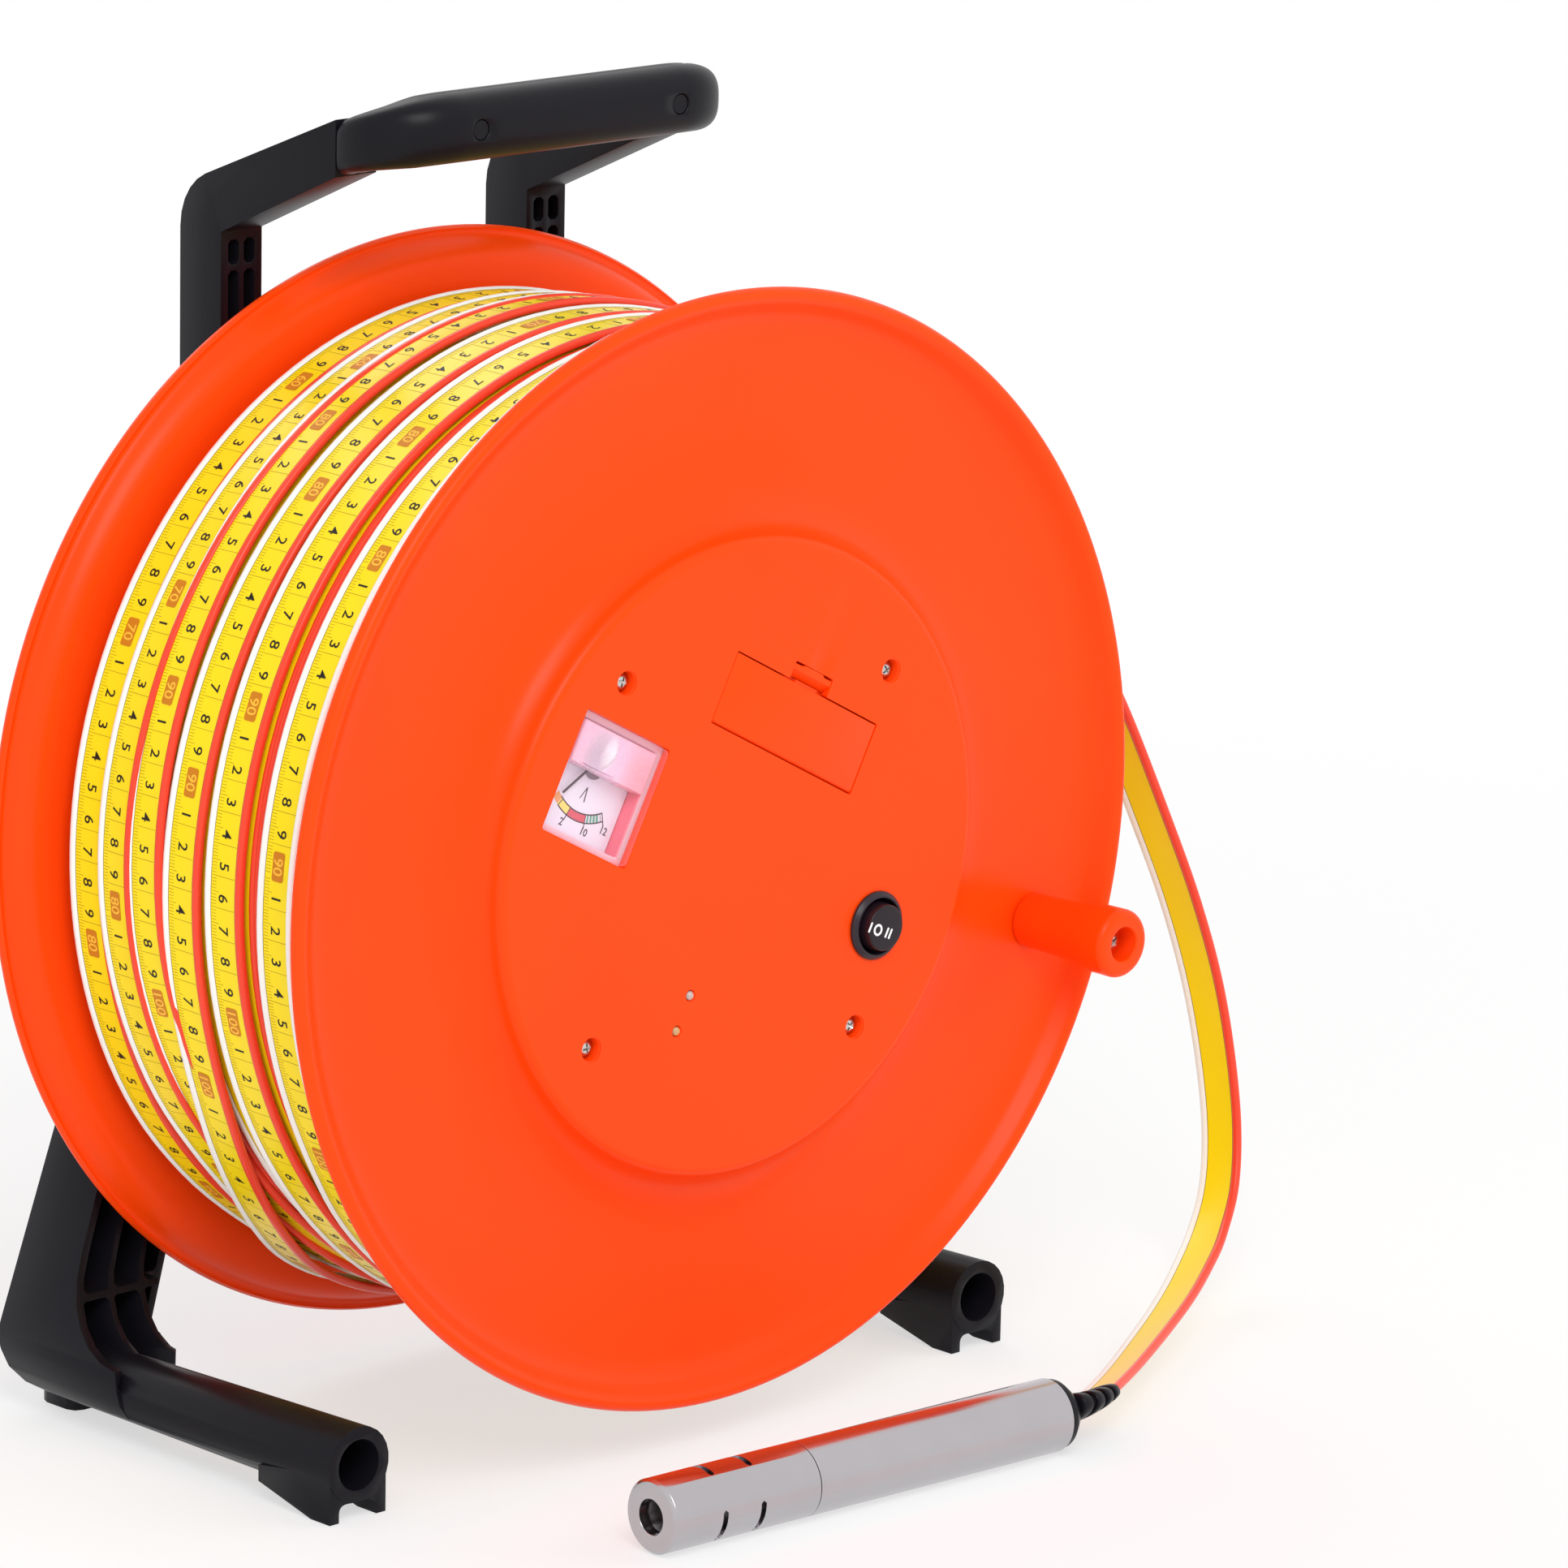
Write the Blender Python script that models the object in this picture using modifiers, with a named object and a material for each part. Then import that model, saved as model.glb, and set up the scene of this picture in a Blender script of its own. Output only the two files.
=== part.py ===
# Water level meter: a hand-wound reel of marked flat tape with a steel probe, on a moulded stand.
# Metres, +Z up. Origin on the floor under the middle of the drum. The front, with the panel, faces -Y.
# Drum pieces are drawn in the drum's own frame: x to the right, y up, z towards the front.

import bpy
import bmesh
from math import atan, atan2, cos, degrees, pi, radians, sin, tan
from mathutils import Matrix, Vector

MM = 0.001

# Clearances
GAP = 0.3 * MM                 # between pieces that touch
RUN_GAP = 0.35 * MM            # round a shaft that turns
PANEL_GAP = 0.4 * MM           # round a piece let into the panel

# Drum: flanges, core and winding
AXLE_HEIGHT = 194.5 * MM
FLANGE_R = 180 * MM
RIM_FRONT = 74 * MM            # rim plane, from the drum's middle
DISC_FRONT = 65 * MM           # outer face of a flange's disc
FLANGE_WALL = 3 * MM
RIM_ROLL = 7 * MM              # width of the rolled rim
RIM_BEND = 12 * MM             # width of the bend between disc and rolled rim
RIM_LEAD = 0.6 * MM            # how far the disc has come forward where that bend starts
CORE_R = 105 * MM
CORE_WALL = 3 * MM
WINDING_R = 163.5 * MM
WINDING_REAR = -57.5 * MM
WINDING_FRONT = 56.5 * MM
TURN_CENTRES = (-46.6, -29.3, -11.5, 6.5, 25.2, 46.0)

# Tape: two round wires with the marked band between them
TURN_GROOVE = 0.3 * MM          # least gap between two turns side by side
TAPE_WIDTH = 17 * MM
TAPE_EDGE = 3 * MM             # width of a wire's sheath
TAPE_THICK = 2.8 * MM
TAPE_BAND = 1.4 * MM           # thickness of the band in the middle
TAPE_SOFT = 0.9 * MM           # rounding of a wire's sheath

# Control panel: the raised middle of the front flange
PANEL_R = 101.4 * MM
PANEL_FRONT = 79 * MM
PANEL_FILLET = 3.5 * MM
PANEL_DRAFT = 3 * MM
PANEL_FOOT = 8 * MM            # fillet where the panel's wall meets the disc
PANEL_TURN = radians(-28)      # how far the panel's layout is turned
PANEL_PITCH = 67 * MM          # meter and switch, from the axle

# Screws that hold the flanges to the core
SCREW_PITCH_R = 81.8 * MM
SCREW_TURN = radians(38.7)
SCREW_COUNT = 4
SCREW_R = 1.7 * MM
SCREW_HEAD_R = 3.0 * MM
SCREW_HEAD = 2.2 * MM
SCREW_REACH = 16 * MM
SCREW_WELL_R = 3.6 * MM
SCREW_WELL = 4.5 * MM
COLUMN_R = 6 * MM
COLUMN_WEB = 2.4 * MM

# Axle, hub sleeve and bushes
SHAFT_R = 8 * MM
THREAD_R = 6 * MM
BUSH_WALL = 2.6 * MM
BUSH_LIP_R = 14.5 * MM
BUSH_LIP = 2 * MM
BUSH_LENGTH = 14 * MM
SLEEVE_WALL = 3.2 * MM
SLEEVE_FRONT = 34 * MM
HUB_R = 30 * MM
HUB_REAR = 72 * MM
BULKHEAD_FRONT = 26 * MM
BULKHEAD = 3 * MM
WASHER_R = 13.5 * MM
WASHER = 1.6 * MM
NUT_R = 10.2 * MM
NUT = 7 * MM

# Meter
METER = 39 * MM
METER_PROUD = 1.0 * MM
METER_DEPTH = 25 * MM
METER_WALL = 1.4 * MM
METER_DIAL_DEPTH = 9.5 * MM    # dial, behind the lens's front face
METER_PIVOT_UP = 9.0 * MM      # needle pivot, from the meter's middle towards its covered end
NEEDLE_LENGTH = 18 * MM
NEEDLE_SWING = 68.0            # degrees from one end of the scale to the other
METER_COVER = 16 * MM          # height of the frosted cover over the movement

# Battery and its door
DOOR_LENGTH = 69.2 * MM
DOOR_HEIGHT = 23.4 * MM
DOOR_RISE = 45.7 * MM
DOOR_THICK = 2.2 * MM
LATCH_WIDTH = 18.5 * MM
LATCH_REACH = 6.0 * MM
BATTERY = (48.5 * MM, 17.2 * MM, 26.0 * MM)
BOX_WALL = 1.4 * MM

# Switch
SWITCH_BEZEL_R = 11.2 * MM
SWITCH_BEZEL = 2.0 * MM
SWITCH_BARREL_R = 9.9 * MM
SWITCH_BARREL = 20 * MM
SWITCH_BORE_R = 9.2 * MM
ROCKER_R = 8.0 * MM
ROCKER_TOP_R = 7.5 * MM
ROCKER_RISE = 3.0 * MM
ROCKER_AXIS_DEEP = 4.6 * MM    # pivot, behind the bezel's front face
ROCKER_PIN_R = 1.0 * MM

# Lamps and circuit board
LED_R = 1.5 * MM
LED_NEAR = 46.4 * MM
LED_PITCH = 12 * MM
BOARD = (52 * MM, 38 * MM, 1.6 * MM)
BOARD_FRONT = 66 * MM
BUZZER = (6 * MM, 7 * MM)      # radius and height
BUZZER_LEFT = 10.5 * MM
BOARD_POST_R = 3.2 * MM
BOARD_SCREW_R = 1.1 * MM
BOARD_HEAD_R = 2.4 * MM
BOARD_HEAD = 1.4 * MM
BOARD_MARGIN = 5 * MM          # screw centre from the board's edge

# Winding knob
KNOB_AT_R = FLANGE_R - 28 * MM
KNOB_ANGLE = radians(-17.8)
KNOB_TIP = 108 * MM
KNOB_TIP_R = 11.4 * MM
KNOB_BASE_R = 9.0 * MM
KNOB_WELL_R = 5.7 * MM
KNOB_WELL = 8 * MM
KNOB_BORE_R = 2.8 * MM
KNOB_SCREW_R = 2.4 * MM
KNOB_HEAD_R = 3.7 * MM
KNOB_HEAD = 2.8 * MM
KNOB_NUT_R = 4.6 * MM
KNOB_NUT = 3.6 * MM

# Stand. Heights in this block are from the axle.
POST_IN = 57 * MM
POST_OUT = 74 * MM
FRAME_FRONT = 88 * MM
FRAME_REAR = 108 * MM
FRAME_WALL = 3 * MM
FRAME_RIB = 2 * MM
TOP_ROUND = 20 * MM
OUTER_SPLAY_Z = 35 * MM        # where the outer edge leaves the post
INNER_SPLAY_Z = 8 * MM
OUTER_SPLAY = radians(20.2)
INNER_SPLAY = radians(15.4)
LEG_FRONT = 79 * MM            # front of the leg at the foot
FLARE_R = 30 * MM              # sweep of the leg's front edge towards the foot
FLARE_DEPTH = 36 * MM
FLARE_HEIGHT = 52 * MM
WIDE_LEG_Z = -60 * MM          # the leg has two upright ribs below this, one above
RIB_LEVELS = (172 * MM, 104 * MM, OUTER_SPLAY_Z, WIDE_LEG_Z, -153 * MM)
CELLS_UP = 12 * MM             # floor of the lowest pocket, over the sole
ARM_UNDER_Z = 184 * MM         # arm's underside where it leaves the post
ARM_SLOPE = 0.45
ARM_END = 33 * MM              # seam between arm and grip
ARM_HEIGHT = 18.2 * MM
BRIDGE_HALF = 24 * MM          # half height of the cross member
BRIDGE_FRONT = 90 * MM
BOSS_R = 26 * MM
BOSS_FRONT = 77 * MM
NUT_POCKET_R = 13 * MM
NUT_POCKET = 10 * MM

# Feet
FOOT_X = 136.5 * MM
FOOT_FRONT = -54 * MM
FOOT_REAR = 92 * MM
FOOT_R = 12.4 * MM
FOOT_REAR_R = 10.2 * MM
FOOT_BORE_R = 8.3 * MM
FOOT_BORE = 60 * MM
FOOT_AXIS_UP = 17.5 * MM       # tube axis over the floor, at the front
SADDLE_HALF = 11.5 * MM
SADDLE_WALL = 3.8 * MM
ARCH_HEIGHT = 5.6 * MM         # top of the hollow between the saddle's walls
SADDLE_LENGTH = 34 * MM
SADDLE_FLAT = 9 * MM
SOLE_UP = 5.2 * MM             # underside of tube and leg over the floor
HEEL = (24 * MM, 18 * MM)
HEEL_IN = 4 * MM               # heel's rear edge, in from the frame's
REAR_ROUND = 22 * MM

# Grip
GRIP_Y = 11 * MM
GRIP_HALF = 11 * MM
GRIP_START_HALF = 8.6 * MM
GRIP_BEND = 19 * MM
GRIP_SLOPE = 0.43
GRIP_STEPS = 6
GRIP_CORE_R = 5.6 * MM
GRIP_SCREW_X = 42.6 * MM
GRIP_SCREW_R = 1.6 * MM
GRIP_WELL_R = 3.4 * MM
GRIP_WELL = 2.4 * MM
GRIP_HEAD = 1.6 * MM

# Probe, lying on the floor
PROBE_R = 12 * MM
PROBE_TIP = (-91 * MM, -138 * MM)
PROBE_TURN = radians(-2.9)
PROBE_SEAM = 59.7 * MM
PROBE_END = 167 * MM
PROBE_WALL = 2.4 * MM
PROBE_MOUTH_R = 5.7 * MM
PROBE_LIP = 4 * MM             # thickness of the nose's end wall
SLOT_AT = (20.3 * MM, 35.8 * MM)
SLOT_WIDTH = 2.0 * MM
SLOTS_ROUND = 3
SLOT_TILT = radians(-34.5)
SLOT_REACH = 0.5               # half length of a slot, as a share of the nose's radius
CAP_LENGTH = 5.5 * MM
CAP_SPIGOT = 12 * MM
CAP_SMALL_R = 8.6 * MM
ELECTRODE_R = 1.6 * MM
ELECTRODE_FRONT = 14 * MM
INSULATOR_FRONT = 26 * MM
INSULATOR_R = 5.4 * MM
INSULATOR_FLANGE = 5 * MM
INSULATOR_STUB_R = 4 * MM
BODY_PLUG = 8 * MM
PROBE_CHAMFER = 1 * MM
RELIEF_RIBS = 4
RELIEF_WIDE = (10.4 * MM, 4.9 * MM)    # half width and half thickness at the cap
RELIEF_SMALL = (9.6 * MM, 2.9 * MM)    # the same at the mouth
RELIEF_GROOVE = 0.9 * MM
RELIEF_NECK_R = 4.2 * MM
RELIEF_MOUTH = 1.0 * MM        # how far back from the tape's end the mouth lies
RELIEF_HOLD = 0.5 * MM

# The free tape's route after it leaves the winding, in world millimetres, hand-chosen. The fourth value
# is the tape's roll in degrees: 0 stands its width along Y.
TAPE_ROUTE = (
    (164.0, -46.0, 256.5, 4),
    (183.5, -46.0, 231.5, 7),
    (199.5, -46.0, 207.0, 9),
    (220.5, -46.2, 168.0, 10),
    (235.8, -46.8, 137.0, 9),
    (246.8, -47.8, 108.0, 8),
    (252.6, -49.8, 81.0, 5),
    (253.0, -53.8, 56.0, 1),
    (246.8, -59.4, 36.5, -4),
    (233.7, -66.5, 23.5, -10),
    (215.0, -77.0, 16.6, -15),
    (193.5, -89.0, 12.3, -19),
    (167.0, -103.6, 9.8, -23),
    (135.0, -121.8, 9.0, -27),
    (104.0, -139.5, 10.4, -28),
)
TAPE_STATIONS = 56
TAPE_LEAVES = 42.0             # where the free tape leaves the winding, in degrees from +X

# Facets
STEPS_LARGE = 40
STEPS_MIDDLE = 24
STEPS_SMALL = 16

for old in list(bpy.data.objects):
    bpy.data.objects.remove(old, do_unlink=True)

parts = bpy.data.collections.new("water_level_meter")
cutters = bpy.data.collections.new("cutters")
for group in (parts, cutters):
    bpy.context.scene.collection.children.link(group)


# Materials

def material(name, colour, roughness, metallic=0.0, alpha=1.0):
    mat = bpy.data.materials.new(name)
    mat.use_nodes = True
    shader = mat.node_tree.nodes["Principled BSDF"]
    shader.inputs["Base Color"].default_value = (*colour, 1.0)
    shader.inputs["Roughness"].default_value = roughness
    shader.inputs["Metallic"].default_value = metallic
    shader.inputs["Alpha"].default_value = alpha
    return mat


ORANGE = material("orange_plastic", (1.0, 0.09, 0.01), 0.35)
BLACK = material("black_plastic", (0.012, 0.012, 0.016), 0.4)
STEEL = material("steel", (0.62, 0.62, 0.64), 0.25, 1.0)
SCREW_STEEL = material("screw_steel", (0.55, 0.55, 0.56), 0.35, 1.0)
TAPE_YELLOW = material("tape_yellow", (1.0, 0.62, 0.01), 0.4)
CLEAR = material("clear_plastic", (0.95, 0.9, 0.92), 0.08, 0.0, 0.4)
DIAL_WHITE = material("dial_white", (0.9, 0.9, 0.9), 0.5)
BOARD_GREEN = material("board_green", (0.02, 0.2, 0.06), 0.45)
BRASS = material("brass", (0.8, 0.6, 0.25), 0.3, 1.0)
NYLON = material("nylon", (0.85, 0.83, 0.78), 0.5)
BATTERY_GREY = material("battery_grey", (0.25, 0.26, 0.28), 0.4)
LED_WHITE = material("led_white", (0.95, 0.9, 0.85), 0.15)
LED_AMBER = material("led_amber", (0.95, 0.6, 0.1), 0.15)


# Modelling helpers

def empty(name, place, turn=(0, 0, 0), parent=None):
    obj = bpy.data.objects.new(name, None)
    obj.location = place
    obj.rotation_euler = turn
    obj.parent = parent
    parts.objects.link(obj)
    return obj


def settle(obj, mat, parent):
    """Give a new object its material, its parent and its place among the parts."""
    for user in list(obj.users_collection):
        user.objects.unlink(obj)
    parts.objects.link(obj)
    obj.parent = parent
    if mat is not None:
        obj.data.materials.clear()
        obj.data.materials.append(mat)
    return obj


def from_bmesh(name, bm, mat, parent):
    bmesh.ops.recalc_face_normals(bm, faces=bm.faces[:])
    mesh = bpy.data.meshes.new(name)
    bm.to_mesh(mesh)
    bm.free()
    return settle(bpy.data.objects.new(name, mesh), mat, parent)


def smooth(obj, angle=35):
    obj.data.shade_smooth()
    obj.data.set_sharp_from_angle(angle=radians(angle))
    return obj


def box(name, low, high, mat=None, parent=None):
    bm = bmesh.new()
    bmesh.ops.create_cube(bm, size=1.0)
    middle = [(a + b) / 2 for a, b in zip(low, high)]
    size = [b - a for a, b in zip(low, high)]
    bmesh.ops.scale(bm, vec=size, verts=bm.verts)
    bmesh.ops.translate(bm, vec=middle, verts=bm.verts)
    return from_bmesh(name, bm, mat, parent)


def rod(name, radius, low, high, mat=None, parent=None, at=(0, 0), steps=STEPS_SMALL, end_radius=None):
    """A cylinder or cone along z, from low to high."""
    bm = bmesh.new()
    top = radius if end_radius is None else end_radius
    place = Matrix.Translation((at[0], at[1], (low + high) / 2))
    bmesh.ops.create_cone(bm, cap_ends=True, segments=steps, radius1=radius, radius2=top,
                          depth=high - low, matrix=place)
    return smooth(from_bmesh(name, bm, mat, parent))


def turned(name, profile, mat=None, parent=None, steps=STEPS_SMALL, at=(0, 0)):
    """Revolve (radius, z) points about z. The outer side runs from high z to low z."""
    bm = bmesh.new()
    verts = [bm.verts.new((radius, 0, z)) for radius, z in profile]
    open_ended = profile[0][0] == 0 and profile[-1][0] == 0
    for here, there in zip(verts, verts[1:] if open_ended else verts[1:] + verts[:1]):
        bm.edges.new((here, there))
    mesh = bpy.data.meshes.new(name)
    bm.to_mesh(mesh)
    bm.free()
    obj = settle(bpy.data.objects.new(name, mesh), mat, parent)
    obj.location = (at[0], at[1], 0)
    screw = obj.modifiers.new("turn", 'SCREW')
    screw.axis = 'Z'
    screw.angle = 2 * pi
    screw.steps = screw.render_steps = steps
    screw.use_merge_vertices = True
    screw.merge_threshold = 0.00001
    screw.use_smooth_shade = True
    return obj


def plate(name, loops, low, high, mat=None, parent=None):
    """A flat plate from low to high in z. The first loop is its outline, the rest are holes."""
    curve = bpy.data.curves.new(name, 'CURVE')
    curve.dimensions = '2D'
    curve.fill_mode = 'BOTH'
    curve.extrude = (high - low) / 2
    for loop in loops:
        spline = curve.splines.new('POLY')
        spline.points.add(len(loop) - 1)
        for point, (x, y) in zip(spline.points, loop):
            point.co = (x, y, 0, 1)
        spline.use_cyclic_u = True
    drawn = bpy.data.objects.new(name + "_outline", curve)
    bpy.context.scene.collection.objects.link(drawn)
    bpy.context.view_layer.update()
    mesh = bpy.data.meshes.new_from_object(drawn.evaluated_get(bpy.context.evaluated_depsgraph_get()))
    bpy.data.objects.remove(drawn)
    bm = bmesh.new()
    bm.from_mesh(mesh)
    bmesh.ops.remove_doubles(bm, verts=bm.verts[:], dist=0.000001)
    bmesh.ops.translate(bm, vec=(0, 0, (low + high) / 2), verts=bm.verts)
    bmesh.ops.dissolve_limit(bm, angle_limit=radians(0.1), verts=bm.verts[:], edges=bm.edges[:])
    return from_bmesh(name, bm, mat, parent)


def loft(name, rings, mat=None, parent=None):
    """A closed solid through rings of points, with a cap on each end."""
    bm = bmesh.new()
    rows = [[bm.verts.new(point) for point in ring] for ring in rings]
    count = len(rows[0])
    for here, there in zip(rows, rows[1:]):
        for k in range(count):
            n = (k + 1) % count
            bm.faces.new((here[k], here[n], there[n], there[k]))
    bm.faces.new(rows[0])
    bm.faces.new(rows[-1])
    return from_bmesh(name, bm, mat, parent)


def combine(obj, tool, operation='DIFFERENCE'):
    """Cut, join or intersect obj with tool, which is kept as a hidden wire object."""
    for user in list(tool.users_collection):
        user.objects.unlink(tool)
    cutters.objects.link(tool)
    tool.hide_render = True
    tool.display_type = 'WIRE'
    step = obj.modifiers.new(tool.name, 'BOOLEAN')
    step.operation = operation
    step.solver = 'EXACT'
    step.object = tool
    return obj


def cut(obj, tool):
    return combine(obj, tool)


def join(obj, tool):
    return combine(obj, tool, 'UNION')


def arc(centre, radius, start, end, steps):
    """Points on an arc, from start to end in degrees."""
    points = []
    for k in range(steps + 1):
        angle = radians(start + (end - start) * k / steps)
        points.append((centre[0] + radius * cos(angle), centre[1] + radius * sin(angle)))
    return points


def rounded(corners, radius, steps=2):
    """An outline with its corners rounded to the given radius."""
    points = []
    count = len(corners)
    for k in range(count):
        here = Vector(corners[k])
        back = (Vector(corners[k - 1]) - here).normalized()
        onward = (Vector(corners[(k + 1) % count]) - here).normalized()
        half = back.angle(onward) / 2
        reach = radius / tan(half)
        first = here + back * reach
        last = here + onward * reach
        middle = here + (back + onward).normalized() * (radius / sin(half))
        a0 = atan2(first.y - middle.y, first.x - middle.x)
        a1 = atan2(last.y - middle.y, last.x - middle.x)
        sweep = (a1 - a0 + pi) % (2 * pi) - pi
        for j in range(steps + 1):
            angle = a0 + sweep * j / steps
            points.append((middle.x + radius * cos(angle), middle.y + radius * sin(angle)))
    return points


def rectangle(half_x, half_y, at=(0, 0)):
    x, y = at
    return [(x - half_x, y - half_y), (x + half_x, y - half_y), (x + half_x, y + half_y), (x - half_x, y + half_y)]


def polar(radius, angle):
    return (radius * cos(angle), radius * sin(angle))


def hexagon(radius, at=(0, 0)):
    return [(at[0] + radius * cos(k * pi / 3), at[1] + radius * sin(k * pi / 3)) for k in range(6)]


def smooth_route(points, count):
    """Evenly spaced samples of a smooth curve through points, which may carry extra values such as a roll."""
    fine = []
    last = len(points) - 1
    for k in range(last):
        p0, p1, p2, p3 = points[max(k - 1, 0)], points[k], points[k + 1], points[min(k + 2, last)]
        for j in range(24):
            t = j / 24
            fine.append([0.5 * (2 * b + (c - a) * t + (2 * a - 5 * b + 4 * c - d) * t * t
                                + (3 * b - a - 3 * c + d) * t ** 3) for a, b, c, d in zip(p0, p1, p2, p3)])
    fine.append(list(points[-1]))
    steps = [0.0]
    for here, there in zip(fine, fine[1:]):
        steps.append(steps[-1] + (Vector(there[:3]) - Vector(here[:3])).length)
    route = []
    place = 0
    for k in range(count):
        want = steps[-1] * k / (count - 1)
        while place < len(steps) - 2 and steps[place + 1] < want:
            place += 1
        share = (want - steps[place]) / (steps[place + 1] - steps[place])
        route.append([a + (b - a) * share for a, b in zip(fine[place], fine[place + 1])])
    return route


# Frames of reference

axle = Vector((0, 0, AXLE_HEIGHT))
drum = empty("drum_axis", axle, (pi / 2, 0, 0))
panel = empty("panel_layout", (0, 0, 0), (0, 0, PANEL_TURN), drum)
stand_front = empty("stand_front_view", axle, (pi / 2, 0, 0))
stand_side = empty("stand_side_view", axle, (pi / 2, 0, pi / 2))
stand = empty("stand_place", axle)


# Flanges

def flange_skin():
    """Half section of a flange's disc and rolled rim, as (radius, front) points, outer face first."""
    bend_r = FLANGE_R - RIM_ROLL - RIM_BEND
    roll_r = FLANGE_R - RIM_ROLL
    crest = FLANGE_R - RIM_ROLL / 2
    inside = DISC_FRONT - FLANGE_WALL
    outer = [
        (bend_r, DISC_FRONT + RIM_LEAD),
        (bend_r + 0.7 * RIM_BEND, DISC_FRONT + 0.35 * (RIM_FRONT - DISC_FRONT)),
        (roll_r, RIM_FRONT - 1.6 * MM),
        (crest - 0.8 * MM, RIM_FRONT),
        (crest + 1.6 * MM, RIM_FRONT),
        (FLANGE_R, RIM_FRONT - 2.6 * MM),
    ]
    inner = [
        (FLANGE_R - 1 * MM, RIM_FRONT - 4 * MM),
        (crest - 0.6 * MM, RIM_FRONT - FLANGE_WALL - 0.6 * MM),
        (bend_r + 0.95 * RIM_BEND, inside + 0.4 * (RIM_FRONT - DISC_FRONT)),
        (bend_r, inside),
    ]
    return outer, inner


def front_flange():
    outer, inner = flange_skin()
    wall_r = PANEL_R + PANEL_DRAFT
    inside = DISC_FRONT - FLANGE_WALL
    roof = PANEL_FRONT - FLANGE_WALL
    face = [
        (0, PANEL_FRONT),
        (PANEL_R - PANEL_FILLET, PANEL_FRONT),
        (PANEL_R - 0.3 * PANEL_FILLET, PANEL_FRONT - 0.3 * PANEL_FILLET),
        (PANEL_R, PANEL_FRONT - PANEL_FILLET),
        (wall_r, DISC_FRONT + 0.5 * PANEL_FOOT),
        (wall_r + PANEL_FOOT, DISC_FRONT),
    ]
    hollow = [
        (PANEL_R - FLANGE_WALL, inside),
        (PANEL_R - FLANGE_WALL, roof),
        (0, roof),
    ]
    flange = turned("front_flange", face + outer + inner + hollow, ORANGE, drum, STEPS_LARGE)
    columns = []
    for k in range(SCREW_COUNT):
        at = polar(SCREW_PITCH_R, SCREW_TURN + k * 2 * pi / SCREW_COUNT)
        column = rod(f"panel_column_{k}", COLUMN_R, inside, roof + 0.5 * MM, None, drum, at)
        columns.append(column)
        join(flange, column)
    for k in range(SCREW_COUNT):
        at = polar(SCREW_PITCH_R, SCREW_TURN + k * 2 * pi / SCREW_COUNT)
        cut(flange, rod(f"panel_well_{k}", SCREW_WELL_R, PANEL_FRONT - SCREW_WELL, PANEL_FRONT + 1 * MM, None, drum, at))
        cut(flange, rod(f"panel_hole_{k}", SCREW_R + GAP, inside - 1 * MM, PANEL_FRONT - SCREW_WELL + 0.5 * MM,
                        None, drum, at, 12))
    for k, at in enumerate(board_posts()):
        post = rod(f"board_post_{k}", BOARD_POST_R, BOARD_FRONT + GAP, roof + 0.5 * MM, None, panel, at, 12)
        join(flange, post)
        cut(flange, rod(f"board_pilot_{k}", BOARD_SCREW_R + GAP, BOARD_FRONT - 1 * MM, roof - 1.5 * MM, None, panel, at,
                        10))
    below, above = roof - 2 * MM, PANEL_FRONT + 1 * MM
    window = METER / 2 + PANEL_GAP
    cut(flange, plate("meter_window", [rectangle(window, window, (-PANEL_PITCH, 0))], below, above, None, panel))
    cut(flange, plate("door_opening", [door_outline(PANEL_GAP)], below, above, None, panel))
    cut(flange, rod("switch_hole", SWITCH_BARREL_R + PANEL_GAP, below, above, None, panel, (PANEL_PITCH, 0), 24))
    for k in range(2):
        at = (0, -LED_NEAR - k * LED_PITCH)
        cut(flange, rod(f"lamp_hole_{k}", LED_R + GAP, below, above, None, panel, at, 12))
    at = polar(KNOB_AT_R, KNOB_ANGLE)
    cut(flange, rod("knob_screw_hole", KNOB_SCREW_R + GAP, inside - 1 * MM, DISC_FRONT + 2 * MM, None, drum, at, 12))
    return flange


def rear_flange():
    outer, inner = flange_skin()
    inside = DISC_FRONT - FLANGE_WALL
    sleeve_r = SHAFT_R + RUN_GAP + BUSH_WALL
    face = [
        (HUB_R - 1.5 * MM, HUB_REAR),
        (HUB_R, HUB_REAR - 1.5 * MM),
        (HUB_R + 2 * MM, DISC_FRONT + 1 * MM),
        (HUB_R + 6 * MM, DISC_FRONT),
    ]
    hub = [
        (sleeve_r + SLEEVE_WALL, inside),
        (sleeve_r + SLEEVE_WALL, -SLEEVE_FRONT),
        (sleeve_r + GAP, -SLEEVE_FRONT),
        (sleeve_r + GAP, HUB_REAR),
    ]
    profile = [(radius, -front) for radius, front in reversed(face + outer + inner + hub)]
    flange = turned("rear_flange", profile, ORANGE, drum, STEPS_LARGE)
    for k in range(SCREW_COUNT):
        at = polar(SCREW_PITCH_R, SCREW_TURN + k * 2 * pi / SCREW_COUNT)
        cut(flange, rod(f"rear_hole_{k}", SCREW_R + GAP, -DISC_FRONT - 1 * MM, -inside + 1 * MM, None, drum, at, 12))
    return flange


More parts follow.
